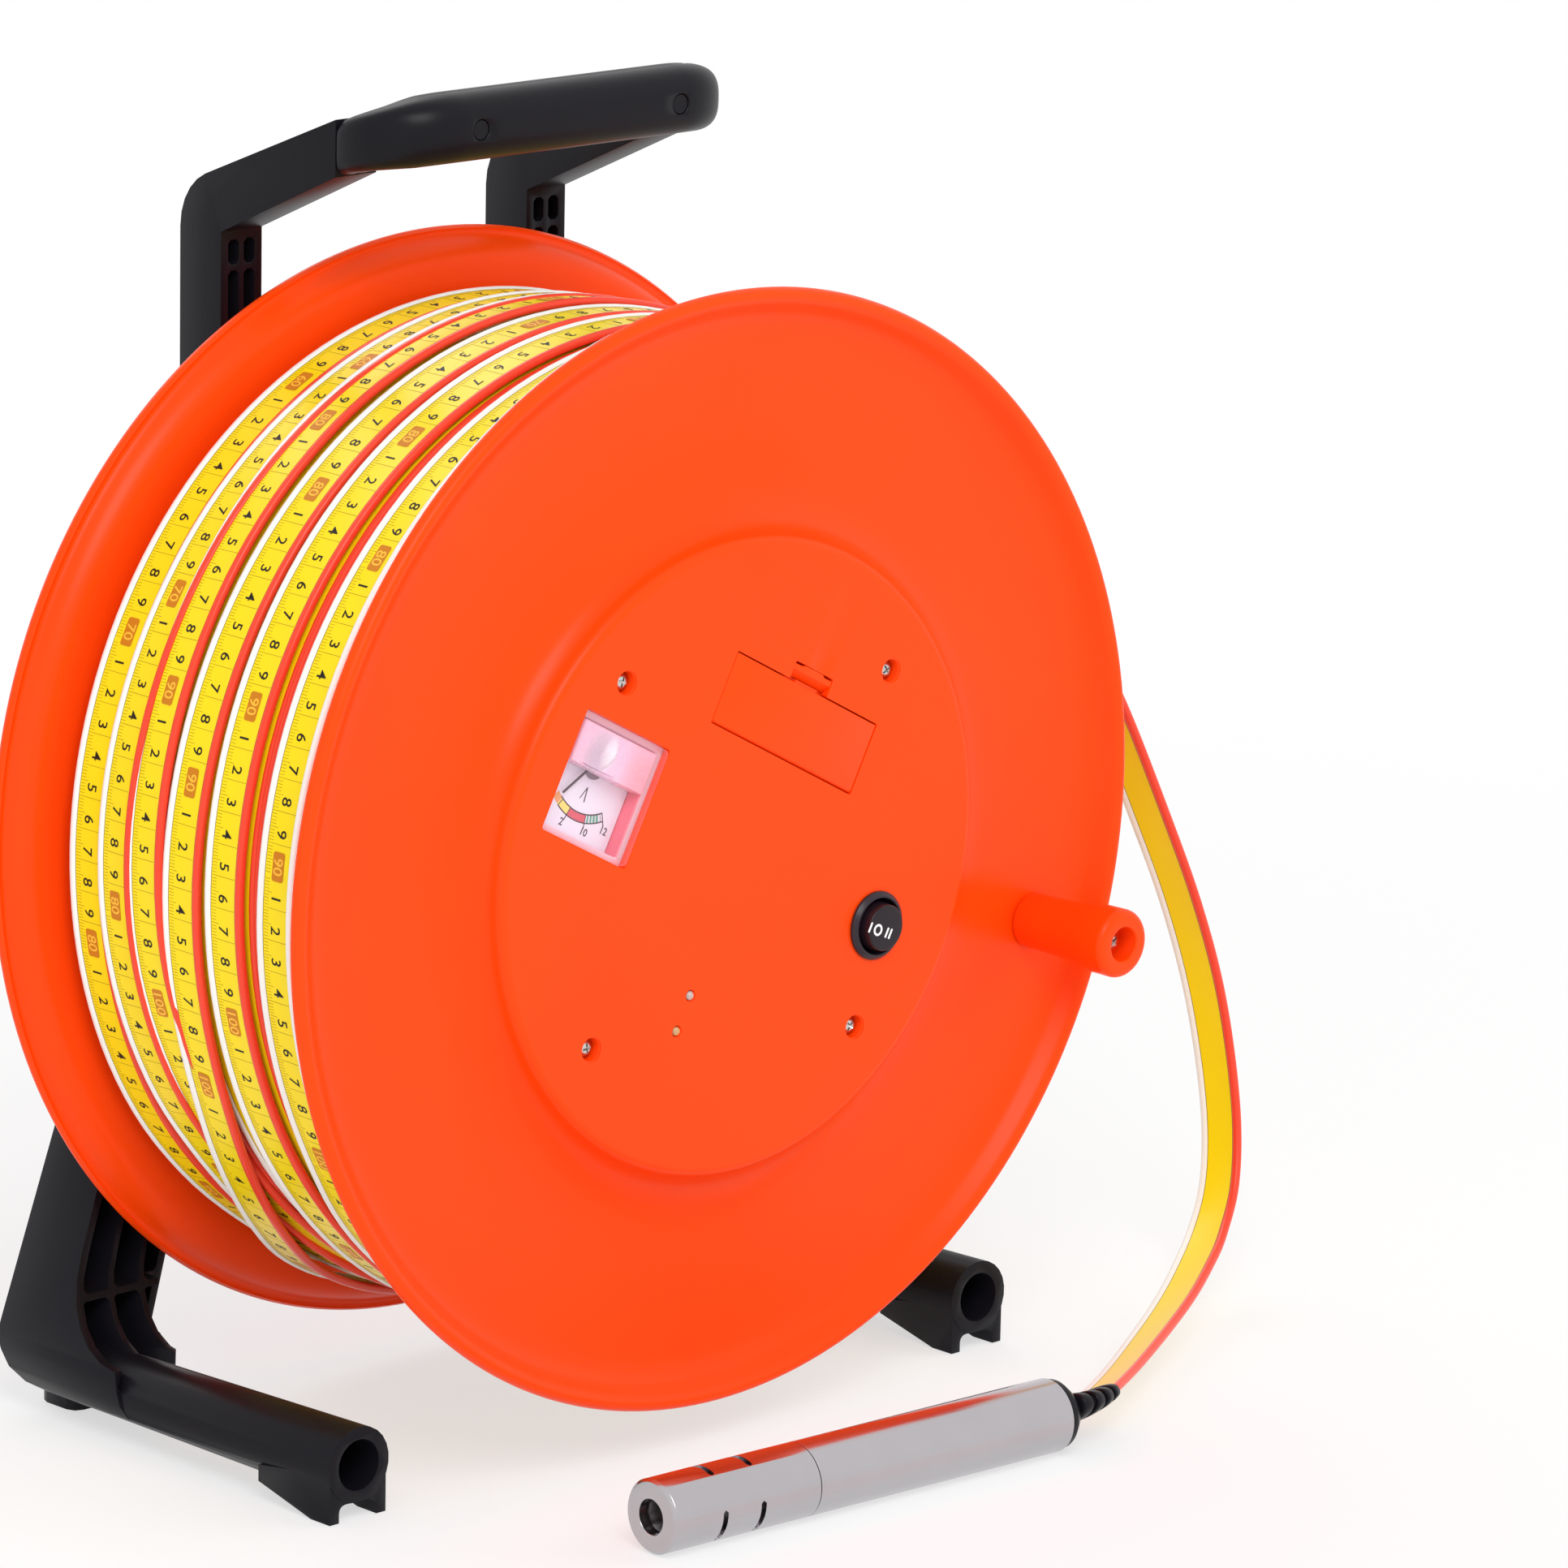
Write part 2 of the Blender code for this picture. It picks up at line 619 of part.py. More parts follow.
def core_barrel():
    end = DISC_FRONT - FLANGE_WALL - GAP
    inner = CORE_R - CORE_WALL
    sleeve_r = SHAFT_R + RUN_GAP + BUSH_WALL + SLEEVE_WALL + GAP
    back = BULKHEAD_FRONT - BULKHEAD
    profile = [
        (CORE_R, end), (CORE_R, -end), (inner, -end), (inner, back),
        (sleeve_r, back), (sleeve_r, BULKHEAD_FRONT), (inner, BULKHEAD_FRONT), (inner, end),
    ]
    barrel = turned("core_barrel", profile, ORANGE, drum, STEPS_LARGE)
    for k in range(SCREW_COUNT):
        angle = SCREW_TURN + k * 2 * pi / SCREW_COUNT
        at = polar(SCREW_PITCH_R, angle)
        join(barrel, rod(f"core_column_{k}", COLUMN_R, -end, end, None, drum, at, 16))
        web = box(f"core_web_{k}", (SCREW_PITCH_R + COLUMN_R - 2 * MM, -COLUMN_WEB / 2, -end),
                  (CORE_R - 1 * MM, COLUMN_WEB / 2, end), None, drum)
        web.rotation_euler = (0, 0, angle)
        join(barrel, web)
        for low, high in ((-end - 1 * MM, -end + SCREW_REACH), (end - SCREW_REACH, end + 1 * MM)):
            cut(barrel, rod(f"core_bore_{k}_{'rear' if low < 0 else 'front'}", SCREW_R + GAP, low, high, None, drum,
                            at, 10))
    return barrel


def screw_group(name, seat, tip, up, recess=True):
    """Screws on the flange's circle: heads seated at seat, shanks to tip, heads towards up."""
    for k in range(SCREW_COUNT):
        at = polar(SCREW_PITCH_R, SCREW_TURN + k * 2 * pi / SCREW_COUNT)
        head = seat + up * SCREW_HEAD
        points = [(0, head), (0.75 * SCREW_HEAD_R, head), (SCREW_HEAD_R, head - up * 0.8 * MM), (SCREW_HEAD_R, seat),
                  (SCREW_R, seat), (SCREW_R, tip + up * 1.2 * MM), (0, tip)]
        if up < 0:
            points.reverse()
        screw = turned(f"{name}_{k + 1}", points, SCREW_STEEL, drum, 10, at)
        if recess:
            for turn in (0, pi / 2):
                slot = box(f"{name}_cross_{k}_{turn > 0}", (-1.7 * MM, -0.4 * MM, -0.9 * MM),
                           (1.7 * MM, 0.4 * MM, 0.5 * MM), None, drum)
                slot.location = (*at, head)
                slot.rotation_euler = (0, 0, SCREW_TURN + turn)
                cut(screw, slot)


# Winding

def tape_winding():
    """The wound tape as one ring, with the six outer turns standing on the turns below them."""
    below = WINDING_R - TAPE_THICK
    band = WINDING_R - (TAPE_THICK - TAPE_BAND) / 2
    profile = []
    core = CORE_R + GAP
    for centre in sorted(TURN_CENTRES, reverse=True):
        high = centre * MM + TAPE_WIDTH / 2
        low = centre * MM - TAPE_WIDTH / 2
        profile += [
            (WINDING_R, high), (WINDING_R, high - TAPE_EDGE), (band, high - TAPE_EDGE),
            (band, low + TAPE_EDGE), (WINDING_R, low + TAPE_EDGE), (WINDING_R, low), (below, low - TURN_GROOVE / 2),
        ]
    first = [(core, WINDING_FRONT), (below, WINDING_FRONT)]
    last = [(below, WINDING_REAR), (core, WINDING_REAR)]
    return turned("tape_winding", first + profile + last, TAPE_YELLOW, drum, STEPS_LARGE)


# Axle and bushes

def bush(name, lip_face, inward):
    """A flanged bush with its lip outside lip_face and its barrel running inward (+1 or -1 along z)."""
    bore = SHAFT_R + RUN_GAP
    outer = bore + BUSH_WALL
    lip = lip_face - inward * BUSH_LIP
    end = lip_face + inward * BUSH_LENGTH
    points = [(bore, lip), (BUSH_LIP_R, lip), (BUSH_LIP_R, lip_face), (outer, lip_face), (outer, end), (bore, end)]
    if inward > 0:
        points.reverse()
    return turned(name, points, NYLON, drum, STEPS_MIDDLE)


def washer(name, low, bore, parent=None):
    points = [(WASHER_R, low + WASHER), (WASHER_R, low), (bore, low), (bore, low + WASHER)]
    return turned(name, points, STEEL, parent or drum, STEPS_MIDDLE)


def nut(name, low, height, radius, bore, parent=None, at=(0, 0)):
    hole = [(at[0] + bore * cos(k * pi / 8), at[1] + bore * sin(k * pi / 8)) for k in range(16)]
    return plate(name, [hexagon(radius, at), hole], low, low + height, STEEL, parent or drum)


def axle_pieces():
    front_lip = SLEEVE_FRONT + GAP + BUSH_LIP
    rear_lip = -HUB_REAR - GAP - BUSH_LIP
    shoulder = front_lip + GAP
    nut_seat = -FRAME_REAR + NUT_POCKET
    rear_end = -FRAME_REAR + 1.5 * MM
    bush("front_bush", SLEEVE_FRONT + GAP, -1)
    bush("rear_bush", -HUB_REAR - GAP, 1)
    front_washer = shoulder + 2 * GAP
    washer("axle_front_washer", front_washer, THREAD_R + GAP, stand_front)
    nut("axle_front_nut", front_washer + WASHER + GAP, NUT, NUT_R, THREAD_R + GAP, stand_front)
    washer("axle_spacer_washer", rear_lip - GAP - WASHER, SHAFT_R + GAP, stand_front)
    nut("axle_rear_nut", nut_seat - GAP - NUT, NUT, NUT_R, THREAD_R + GAP, stand_front)
    tip = front_washer + WASHER + NUT + 3 * MM
    rear_step = nut_seat + 2 * MM
    shaft = [
        (0, tip), (THREAD_R - 1 * MM, tip), (THREAD_R, tip - 1 * MM), (THREAD_R, shoulder), (SHAFT_R, shoulder),
        (SHAFT_R, rear_step), (THREAD_R, rear_step), (THREAD_R, rear_end + 1 * MM), (THREAD_R - 1 * MM, rear_end),
        (0, rear_end),
    ]
    turned("axle_shaft", shaft, STEEL, stand_front, STEPS_MIDDLE)


# Knob

def knob_pieces():
    at = polar(KNOB_AT_R, KNOB_ANGLE)
    centre = empty("knob_axis", (*at, 0), (0, 0, 0), drum)
    base = DISC_FRONT + 0.6 * MM + GAP
    well = KNOB_TIP - KNOB_WELL
    profile = [
        (KNOB_WELL_R, KNOB_TIP), (KNOB_TIP_R - 2.6 * MM, KNOB_TIP), (KNOB_TIP_R - 0.8 * MM, KNOB_TIP - 0.9 * MM),
        (KNOB_TIP_R, KNOB_TIP - 3.2 * MM), (KNOB_TIP_R - 0.1 * MM, KNOB_TIP - 10 * MM),
        (KNOB_BASE_R + 0.5 * MM, base + 16 * MM), (KNOB_BASE_R, base + 1 * MM), (KNOB_BASE_R - 0.8 * MM, base),
        (KNOB_BORE_R, base), (KNOB_BORE_R, well), (KNOB_WELL_R, well),
    ]
    turned("winding_knob", profile, ORANGE, centre, STEPS_MIDDLE)
    seat = well + GAP
    head = seat + KNOB_HEAD
    inside = DISC_FRONT - FLANGE_WALL
    end = inside - GAP - KNOB_NUT - 0.5 * MM
    screw = turned("knob_screw", [
        (0, head), (0.6 * KNOB_HEAD_R, head), (0.92 * KNOB_HEAD_R, head - 0.8 * MM), (KNOB_HEAD_R, seat),
        (KNOB_SCREW_R, seat), (KNOB_SCREW_R, end), (0, end)], SCREW_STEEL, centre, STEPS_SMALL)
    for turn in (0, pi / 2):
        slot = box(f"knob_cross_{turn > 0}", (-2.0 * MM, -0.5 * MM, head - 1.2 * MM), (2.0 * MM, 0.5 * MM, head + 1 * MM),
                   None, centre)
        slot.rotation_euler = (0, 0, turn)
        cut(screw, slot)
    nut("knob_nut", inside - GAP - KNOB_NUT, KNOB_NUT, KNOB_NUT_R, KNOB_SCREW_R + GAP, centre)


# Battery, its box and its door

def door_outline(grow=0.0):
    """Outline of the door, with its latch at the middle of the upper edge. The lower edge is the hinge."""
    half = DOOR_LENGTH / 2 + grow
    low = DOOR_RISE - DOOR_HEIGHT / 2 - grow
    high = DOOR_RISE + DOOR_HEIGHT / 2 + grow
    latch = LATCH_WIDTH / 2
    top = high + LATCH_REACH
    if grow == 0.0:
        return [(-half, low), (half, low), (half, high), (-half, high)]
    return [(-half, low), (half, low), (half, high), (latch, high), (latch, top), (-latch, top), (-latch, high),
            (-half, high)]


def battery_pieces():
    roof = PANEL_FRONT - FLANGE_WALL
    rim = roof - GAP
    length, height, depth = BATTERY
    lamp = 2.4 * MM
    inner = (length / 2 + 7 * MM, height / 2 + 1 * MM)
    floor = rim - depth - 3 * MM
    rim_half = (DOOR_LENGTH / 2 + 2 * MM, DOOR_HEIGHT / 2 + 1.6 * MM)
    at = (0, DOOR_RISE)
    tray = plate("battery_box", [rounded(rectangle(*rim_half, at), 2 * MM)], rim - 1.6 * MM, rim, ORANGE, panel)
    shell = rectangle(inner[0] + BOX_WALL, inner[1] + BOX_WALL, at)
    join(tray, plate("battery_box_shell", [shell], floor - BOX_WALL, rim - 1 * MM, None, panel))
    cut(tray, plate("battery_box_hollow", [rectangle(*inner, at)], floor, rim + 1 * MM, None, panel))
    step = DOOR_RISE + DOOR_HEIGHT / 2
    shelf = plate("battery_box_shelf", [rectangle(LATCH_WIDTH / 2 + 1.6 * MM, 4.4 * MM, (0, step + 4 * MM))],
                  rim - 1.6 * MM, rim, None, panel)
    join(tray, shelf)

    cell_low = floor + GAP
    cell = plate("battery", [rounded(rectangle(length / 2, height / 2, (-4 * MM, DOOR_RISE)), 2 * MM)],
                 cell_low, cell_low + depth, BATTERY_GREY, panel)
    for k, shift in enumerate((-4.2 * MM, 4.2 * MM)):
        stud = rod(f"battery_stud_{k}", lamp, 0, 3 * MM, None, panel, steps=12)
        stud.rotation_euler = (0, pi / 2, 0)
        stud.location = (length / 2 - 4 * MM - 1 * MM, DOOR_RISE + shift, cell_low + depth / 2)
        join(cell, stud)
    snap_x = length / 2 - 4 * MM
    snap = box("battery_snap", (snap_x + GAP, DOOR_RISE - 8 * MM, cell_low + depth / 2 - 6 * MM),
               (snap_x + 5 * MM, DOOR_RISE + 8 * MM, cell_low + depth / 2 + 6 * MM), BLACK, panel)
    for k, shift in enumerate((-4.2 * MM, 4.2 * MM)):
        hole = rod(f"battery_snap_hole_{k}", lamp + GAP, -1 * MM, 2.6 * MM, None, panel, steps=12)
        hole.rotation_euler = (0, pi / 2, 0)
        hole.location = (snap_x, DOOR_RISE + shift, cell_low + depth / 2)
        cut(snap, hole)


def battery_door():
    low = DOOR_RISE - DOOR_HEIGHT / 2
    high = DOOR_RISE + DOOR_HEIGHT / 2
    front = PANEL_FRONT - 0.1 * MM
    back = front - DOOR_THICK
    edge = DOOR_THICK / 2
    hinge = empty("door_hinge", (0, low + edge, front - edge), (0, 0, 0), panel)
    top = high - low - edge
    leaf = plate("battery_door", [rectangle(DOOR_LENGTH / 2, (top) / 2, (0, top / 2))], -edge, edge, ORANGE, hinge)
    barrel = rod("door_edge", edge, -DOOR_LENGTH / 2, DOOR_LENGTH / 2, None, hinge, steps=12)
    barrel.rotation_euler = (0, pi / 2, 0)
    join(leaf, barrel)
    # The latch is a spring tongue, parted from the leaf by a slot on each side, with a lip for the finger
    tongue = 11 * MM
    slot = 1.0 * MM
    for side in (-1, 1):
        x = side * (tongue / 2 + slot / 2)
        cut(leaf, box(f"latch_slot_{side + 1}", (x - slot / 2, top - 6.5 * MM, -edge - 1 * MM),
                      (x + slot / 2, top + 1 * MM, edge + 1 * MM), None, hinge))
    lip = box("latch_lip", (-tongue / 2, top - 1 * MM, -edge), (tongue / 2, top + 2.2 * MM, edge - 0.9 * MM), None, hinge)
    join(leaf, lip)
    return leaf


# Meter

def meter_pieces():
    at = (-PANEL_PITCH, 0)
    half = METER / 2
    roof = PANEL_FRONT - FLANGE_WALL
    front = PANEL_FRONT + METER_PROUD
    seat = roof - GAP
    dial_front = front - METER_DIAL_DEPTH
    back = seat - METER_DEPTH
    case = plate("meter_case", [rounded(rectangle(half + 2 * MM, half + 2 * MM, at), 1.5 * MM)],
                 seat - 2 * MM, seat, BLACK, panel)
    wall = half - 0.5 * MM
    join(case, plate("meter_case_shell", [rectangle(wall, wall, at)], back, seat - 1 * MM, None, panel))
    room = wall - METER_WALL
    cut(case, plate("meter_case_hollow", [rectangle(room, room, at)], back + METER_WALL, seat + 1 * MM, None, panel))

    glass = half - GAP / 2
    lens = plate("meter_lens", [rounded(rectangle(glass, glass, at), 1 * MM)], seat + GAP, front, CLEAR, panel)
    inside = glass - 1.6 * MM
    cut(lens, plate("meter_lens_hollow", [rectangle(inside, inside, at)], seat - 1 * MM, front - 1.4 * MM, None, panel))

    dial_half = room - GAP
    plate("meter_dial", [rectangle(dial_half, dial_half, at)], dial_front - 1 * MM, dial_front, DIAL_WHITE, panel)

    # The movement sits behind the dial under a frosted cover, at the end of the meter that faces up
    pivot = (at[0], METER_PIVOT_UP)
    coil_low = back + METER_WALL + GAP
    turned("meter_coil", [(0, dial_front - 1 * MM - GAP), (8 * MM, dial_front - 1 * MM - GAP), (8 * MM, coil_low),
                          (0, coil_low)], BRASS, panel, 24, pivot)
    cover_low = half - METER_COVER
    top = room - GAP
    hood_front = front - 1.4 * MM - GAP
    hood = box("meter_cover", (at[0] - top, cover_low, dial_front + GAP), (at[0] + top, top, hood_front), CLEAR, panel)
    chamber = box("meter_cover_hollow", (at[0] - top + 1 * MM, cover_low - 1 * MM, dial_front - 1 * MM),
                  (at[0] + top - 1 * MM, top - 1 * MM, hood_front - 0.9 * MM), None, panel)
    cut(hood, chamber)

    needle_axis = empty("needle_axis", (*pivot, 0), (0, 0, radians(-90 - NEEDLE_SWING / 2)), panel)
    middle = dial_front + 1.3 * MM
    needle = turned("meter_needle", [(0, middle + 0.7 * MM), (1.6 * MM, middle + 0.7 * MM), (1.6 * MM, middle - 0.7 * MM),
                                     (0, middle - 0.7 * MM)], BLACK, needle_axis, 12)
    join(needle, box("needle_blade", (0.5 * MM, -0.3 * MM, middle - 0.25 * MM),
                     (NEEDLE_LENGTH, 0.3 * MM, middle + 0.25 * MM), None, needle_axis))
    join(needle, box("needle_tail", (-4 * MM, -0.6 * MM, middle - 0.25 * MM),
                     (-0.5 * MM, 0.6 * MM, middle + 0.25 * MM), None, needle_axis))


# Switch

def switch_pieces():
    at = (PANEL_PITCH, 0)
    seat = PANEL_FRONT + GAP
    top = seat + SWITCH_BEZEL
    roof = PANEL_FRONT - FLANGE_WALL
    end = seat - SWITCH_BARREL
    cup = top - 9 * MM
    profile = [
        (0, cup), (SWITCH_BORE_R, cup), (SWITCH_BORE_R, top - 0.6 * MM), (SWITCH_BORE_R + 0.5 * MM, top),
        (SWITCH_BEZEL_R - 1.2 * MM, top), (SWITCH_BEZEL_R, top - 1.3 * MM), (SWITCH_BEZEL_R, seat),
        (SWITCH_BARREL_R, seat), (SWITCH_BARREL_R, end), (0, end),
    ]
    bezel = turned("switch_bezel", profile, BLACK, panel, STEPS_MIDDLE, at)
    for k, shift in enumerate((-5 * MM, 0, 5 * MM)):
        tab = box(f"switch_terminal_{k}", (at[0] + shift - 0.5 * MM, -2.4 * MM, end - 7 * MM),
                  (at[0] + shift + 0.5 * MM, 2.4 * MM, end + 1 * MM), None, panel)
        join(bezel, tab)
    nut("switch_nut", roof - GAP - 3 * MM, 3 * MM, 14.5 * MM, SWITCH_BARREL_R + GAP, panel, at)

    pivot = empty("rocker_axis", (*at, top - ROCKER_AXIS_DEEP), (0, 0, 0), panel)
    rise = ROCKER_AXIS_DEEP + ROCKER_RISE
    drop = -2.6 * MM
    rocker = turned("switch_rocker", [
        (0, rise), (ROCKER_TOP_R - 1.2 * MM, rise), (ROCKER_TOP_R, rise - 0.9 * MM), (ROCKER_R, 2.0 * MM),
        (ROCKER_R, drop + 1.2 * MM), (ROCKER_R - 1.6 * MM, drop), (0, drop)], BLACK, pivot, STEPS_MIDDLE)
    reach = SWITCH_BARREL_R - 0.2 * MM
    for obj, radius, length, step in ((bezel, ROCKER_PIN_R + GAP, SWITCH_BARREL_R + 1 * MM, cut),
                                      (rocker, ROCKER_PIN_R, reach, join)):
        pin = rod(f"{obj.name}_pin", radius, -length, length, None, pivot, steps=12)
        pin.rotation_euler = (pi / 2, 0, 0)
        step(obj, pin)


# Board, lamps and buzzer

def board_pieces():
    front = BOARD_FRONT
    back = front - BOARD[2]
    centre = (0, -LED_NEAR - LED_PITCH / 2)
    low = (-BOARD[0] / 2, centre[1] - BOARD[1] / 2)
    high = (BOARD[0] / 2, centre[1] + BOARD[1] / 2)
    board = plate("circuit_board", [rounded([low, (high[0], low[1]), high, (low[0], high[1])], 2 * MM)], back, front,
                  BOARD_GREEN, panel)
    for k, at in enumerate(board_posts()):
        cut(board, rod(f"board_hole_{k}", BOARD_SCREW_R + GAP, back - 1 * MM, front + 1 * MM, None, panel, at, 10))
        seat = back - GAP
        turned(f"board_screw_{k + 1}", [(0, roof_level() - 2 * MM), (BOARD_SCREW_R, roof_level() - 3 * MM),
                                        (BOARD_SCREW_R, seat), (BOARD_HEAD_R, seat), (BOARD_HEAD_R, seat - BOARD_HEAD),
                                        (0, seat - BOARD_HEAD)], SCREW_STEEL, panel, 10, at)
    for name, place, mat in (("led_upper", -LED_NEAR, LED_WHITE), ("led_lower", -LED_NEAR - LED_PITCH, LED_AMBER)):
        tip = PANEL_FRONT + 0.7 * MM
        dome = [(LED_R * sin(a), tip - LED_R + LED_R * cos(a)) for a in (0, 0.5, 1.0, pi / 2)]
        foot = front + GAP
        body = [(LED_R, roof_level() - 1.2 * MM), (LED_R + 0.4 * MM, roof_level() - 1.2 * MM),
                (LED_R + 0.4 * MM, foot), (0, foot)]
        turned(name, dome + body, mat, panel, 12, (0, place))
    foot = front + GAP
    top = foot + BUZZER[1]
    turned("buzzer", [(0, top - 1 * MM), (1 * MM, top - 1 * MM), (1 * MM, top), (BUZZER[0], top), (BUZZER[0], foot),
                      (0, foot)], BLACK, panel, STEPS_SMALL, (-BUZZER_LEFT, centre[1]))


def board_posts():
    """Places of the posts that carry the circuit board, in the panel's layout."""
    reach = BOARD[0] / 2 - BOARD_MARGIN
    return [(side * reach, -LED_NEAR - LED_PITCH / 2) for side in (-1, 1)]


def roof_level():
    return PANEL_FRONT - FLANGE_WALL


# Grip

def grip_path():
    """Stations along the grip's centreline: place, outward direction, upward direction, size share."""
    start_x = (POST_IN + POST_OUT) / 2
    bend_y = GRIP_Y + GRIP_BEND
    lead = ARM_END - bend_y
    bend = GRIP_BEND * pi / 2
    length = lead + bend
    rows = []

    def height(run):
        return arm_centre_z() + GRIP_SLOPE * (run - run * run / (2 * length))

    stops = [0.0, lead] + [lead + bend * k / GRIP_STEPS for k in range(1, GRIP_STEPS + 1)]
    for run in stops:
        if run <= lead:
            angle = 0.0
            place = Vector((start_x, ARM_END - run, height(run)))
        else:
            angle = (run - lead) / GRIP_BEND
            place = Vector((start_x - GRIP_BEND * (1 - cos(angle)), bend_y - GRIP_BEND * sin(angle), height(run)))
        rows.append((place, Vector((cos(angle), -sin(angle), 0)), Vector((0, 0, 1)), run / length))
    return rows


def arm_centre_z():
    """Height of the arm's middle at the seam with the grip, over the axle."""
    under = ARM_UNDER_Z + ARM_SLOPE * (FRAME_FRONT - ARM_END)
    return under + ARM_HEIGHT / 2


def full_grip_path():
    right = grip_path()
    left = []
    for place, outward, up, share in reversed(right):
        left.append((Vector((-place.x, place.y, place.z)), Vector((-outward.x, outward.y, outward.z)), up, share))
    return right + left


def oval(half_w, half_h, power, start, end, steps):
    """Points of a superellipse from start to end degrees, as (outward, up) pairs."""
    points = []
    for k in range(steps + 1):
        angle = radians(start + (end - start) * k / steps)
        c, s = cos(angle), sin(angle)
        reach = (abs(c) ** power + abs(s) ** power) ** (-1 / power)
        points.append((half_w * c * reach, half_h * s * reach))
    return points


def grip_half(name, side):
    """One shell of the grip: side +1 is the outer shell, -1 the inner one."""
    rings = []
    for place, outward, up, share in full_grip_path():
        half = GRIP_START_HALF + (GRIP_HALF - GRIP_START_HALF) * min(1, 1.6 * share)
        power = 4.5 - 1.9 * min(1, 1.6 * share)
        shell = oval(half, half, power, -90, 90, 8)
        bore = oval(GRIP_CORE_R + GAP, GRIP_CORE_R + GAP, 2, 90, -90, 6)
        ring = [(max(o, GAP / 2), u) for o, u in shell] + [(max(o, GAP / 2), u) for o, u in bore]
        rings.append([place + outward * (side * o) + up * u for o, u in ring])
    return smooth(loft(name, rings, BLACK, stand), 40)


def grip_height():
    """Height of the grip's bar over the axle."""
    return max(row[0].z for row in grip_path())


def along_y(name, radius, low, high, at, mat=None, steps=12):
    """A rod from low to high along the world's Y, with at giving its x and height."""
    piece = rod(name, radius, low, high, mat, stand, steps=steps)
    piece.rotation_euler = (-pi / 2, 0, 0)
    piece.location = (at[0], 0, at[1])
    return piece


def grip_pieces():
    outer = grip_half("grip_outer_half", 1)
    inner = grip_half("grip_inner_half", -1)
    front = GRIP_Y - GRIP_HALF
    end = GRIP_Y + GRIP_HALF - 2.6 * MM
    seat = front + GRIP_WELL
    for k, x in enumerate((-GRIP_SCREW_X, GRIP_SCREW_X)):
        at = (x, grip_height())
        cut(outer, along_y(f"grip_well_{k}", GRIP_WELL_R, front - 2 * MM, seat, at))
        cut(outer, along_y(f"grip_hole_{k}", GRIP_SCREW_R + GAP, front, GRIP_Y, at))
        cut(inner, along_y(f"grip_pilot_{k}", GRIP_SCREW_R + GAP, GRIP_Y - 1 * MM, end + GAP, at))
        head = seat - GAP
        screw = along_y(f"grip_screw_{k + 1}", GRIP_SCREW_R, head - 1 * MM, end, at, SCREW_STEEL)
        join(screw, along_y(f"grip_screw_head_{k}", GRIP_WELL_R - GAP, head - GRIP_HEAD, head, at))


# Stand

def outer_edge(z):
    return POST_OUT + max(0.0, OUTER_SPLAY_Z - z) * tan(OUTER_SPLAY)


def inner_edge(z):
    return POST_IN + max(0.0, INNER_SPLAY_Z - z) * tan(INNER_SPLAY)


def side_outline():
    """The frame seen from the side, as (y, z) points: post, arm, sloping leg front and rounded heel."""
    sole = SOLE_UP - AXLE_HEIGHT
    under_end = ARM_UNDER_Z + ARM_SLOPE * (FRAME_FRONT - ARM_END)
    top_end = under_end + ARM_HEIGHT
    top_at_rear = top_end - GRIP_SLOPE * (FRAME_REAR - TOP_ROUND - ARM_END)
    slope = degrees(atan(GRIP_SLOPE))
    crown = arc((FRAME_REAR - TOP_ROUND, top_at_rear - TOP_ROUND), TOP_ROUND, 90 - slope, 0, 5)
    heel = arc((FRAME_REAR - REAR_ROUND, sole + REAR_ROUND), REAR_ROUND, 0, -90, 5)
    toe = LEG_FRONT - FLARE_R - 2 * MM
    flare = arc((LEG_FRONT - FLARE_R, sole + FLARE_R + 20 * MM), FLARE_R, -90, 0, 6)
    seam = ARM_END + GAP
    return ([(seam, under_end), (seam, top_end)] + crown + heel + [(toe, sole)] + flare
            + [(FRAME_FRONT, OUTER_SPLAY_Z - 20 * MM), (FRAME_FRONT, ARM_UNDER_Z)])


def frame_outline():
    """One side of the frame seen from the front, as (x, z) points."""
    sole = SOLE_UP - AXLE_HEIGHT
    low = sole + 20 * MM
    foot_round = 14 * MM
    outer_low = outer_edge(low)
    corner = arc((outer_low - foot_round, sole + foot_round), foot_round, 0, -90, 4)
    top = arm_centre_z() + ARM_HEIGHT
    return ([(POST_IN, top), (POST_OUT, top), (POST_OUT, OUTER_SPLAY_Z), (outer_low, low)] + corner
            + [(inner_edge(sole + 10 * MM), sole), (inner_edge(sole + 10 * MM), sole + 10 * MM),
               (POST_IN, INNER_SPLAY_Z)])


def leg_cells():
    """Pockets between the walls and ribs of post and leg, as outlines in the front view."""
    levels = [ARM_UNDER_Z - FRAME_WALL + FRAME_RIB / 2, *RIB_LEVELS, SOLE_UP + CELLS_UP - AXLE_HEIGHT]
    loops = []
    for high, low in zip(levels, levels[1:]):
        columns = 3 if high <= WIDE_LEG_Z else 2
        z_pair = (low + FRAME_RIB / 2, high - FRAME_RIB / 2)
        for k in range(columns):
            sides = []
            for z in z_pair:
                left = inner_edge(z) + FRAME_WALL
                room = outer_edge(z) - FRAME_WALL - left
                width = (room - (columns - 1) * FRAME_RIB) / columns
                x = left + k * (width + FRAME_RIB)
                sides.append(((x, z), (x + width, z)))
            loops.append(rounded([sides[0][0], sides[0][1], sides[1][1], sides[1][0]], 1.2 * MM, 1))
    return loops


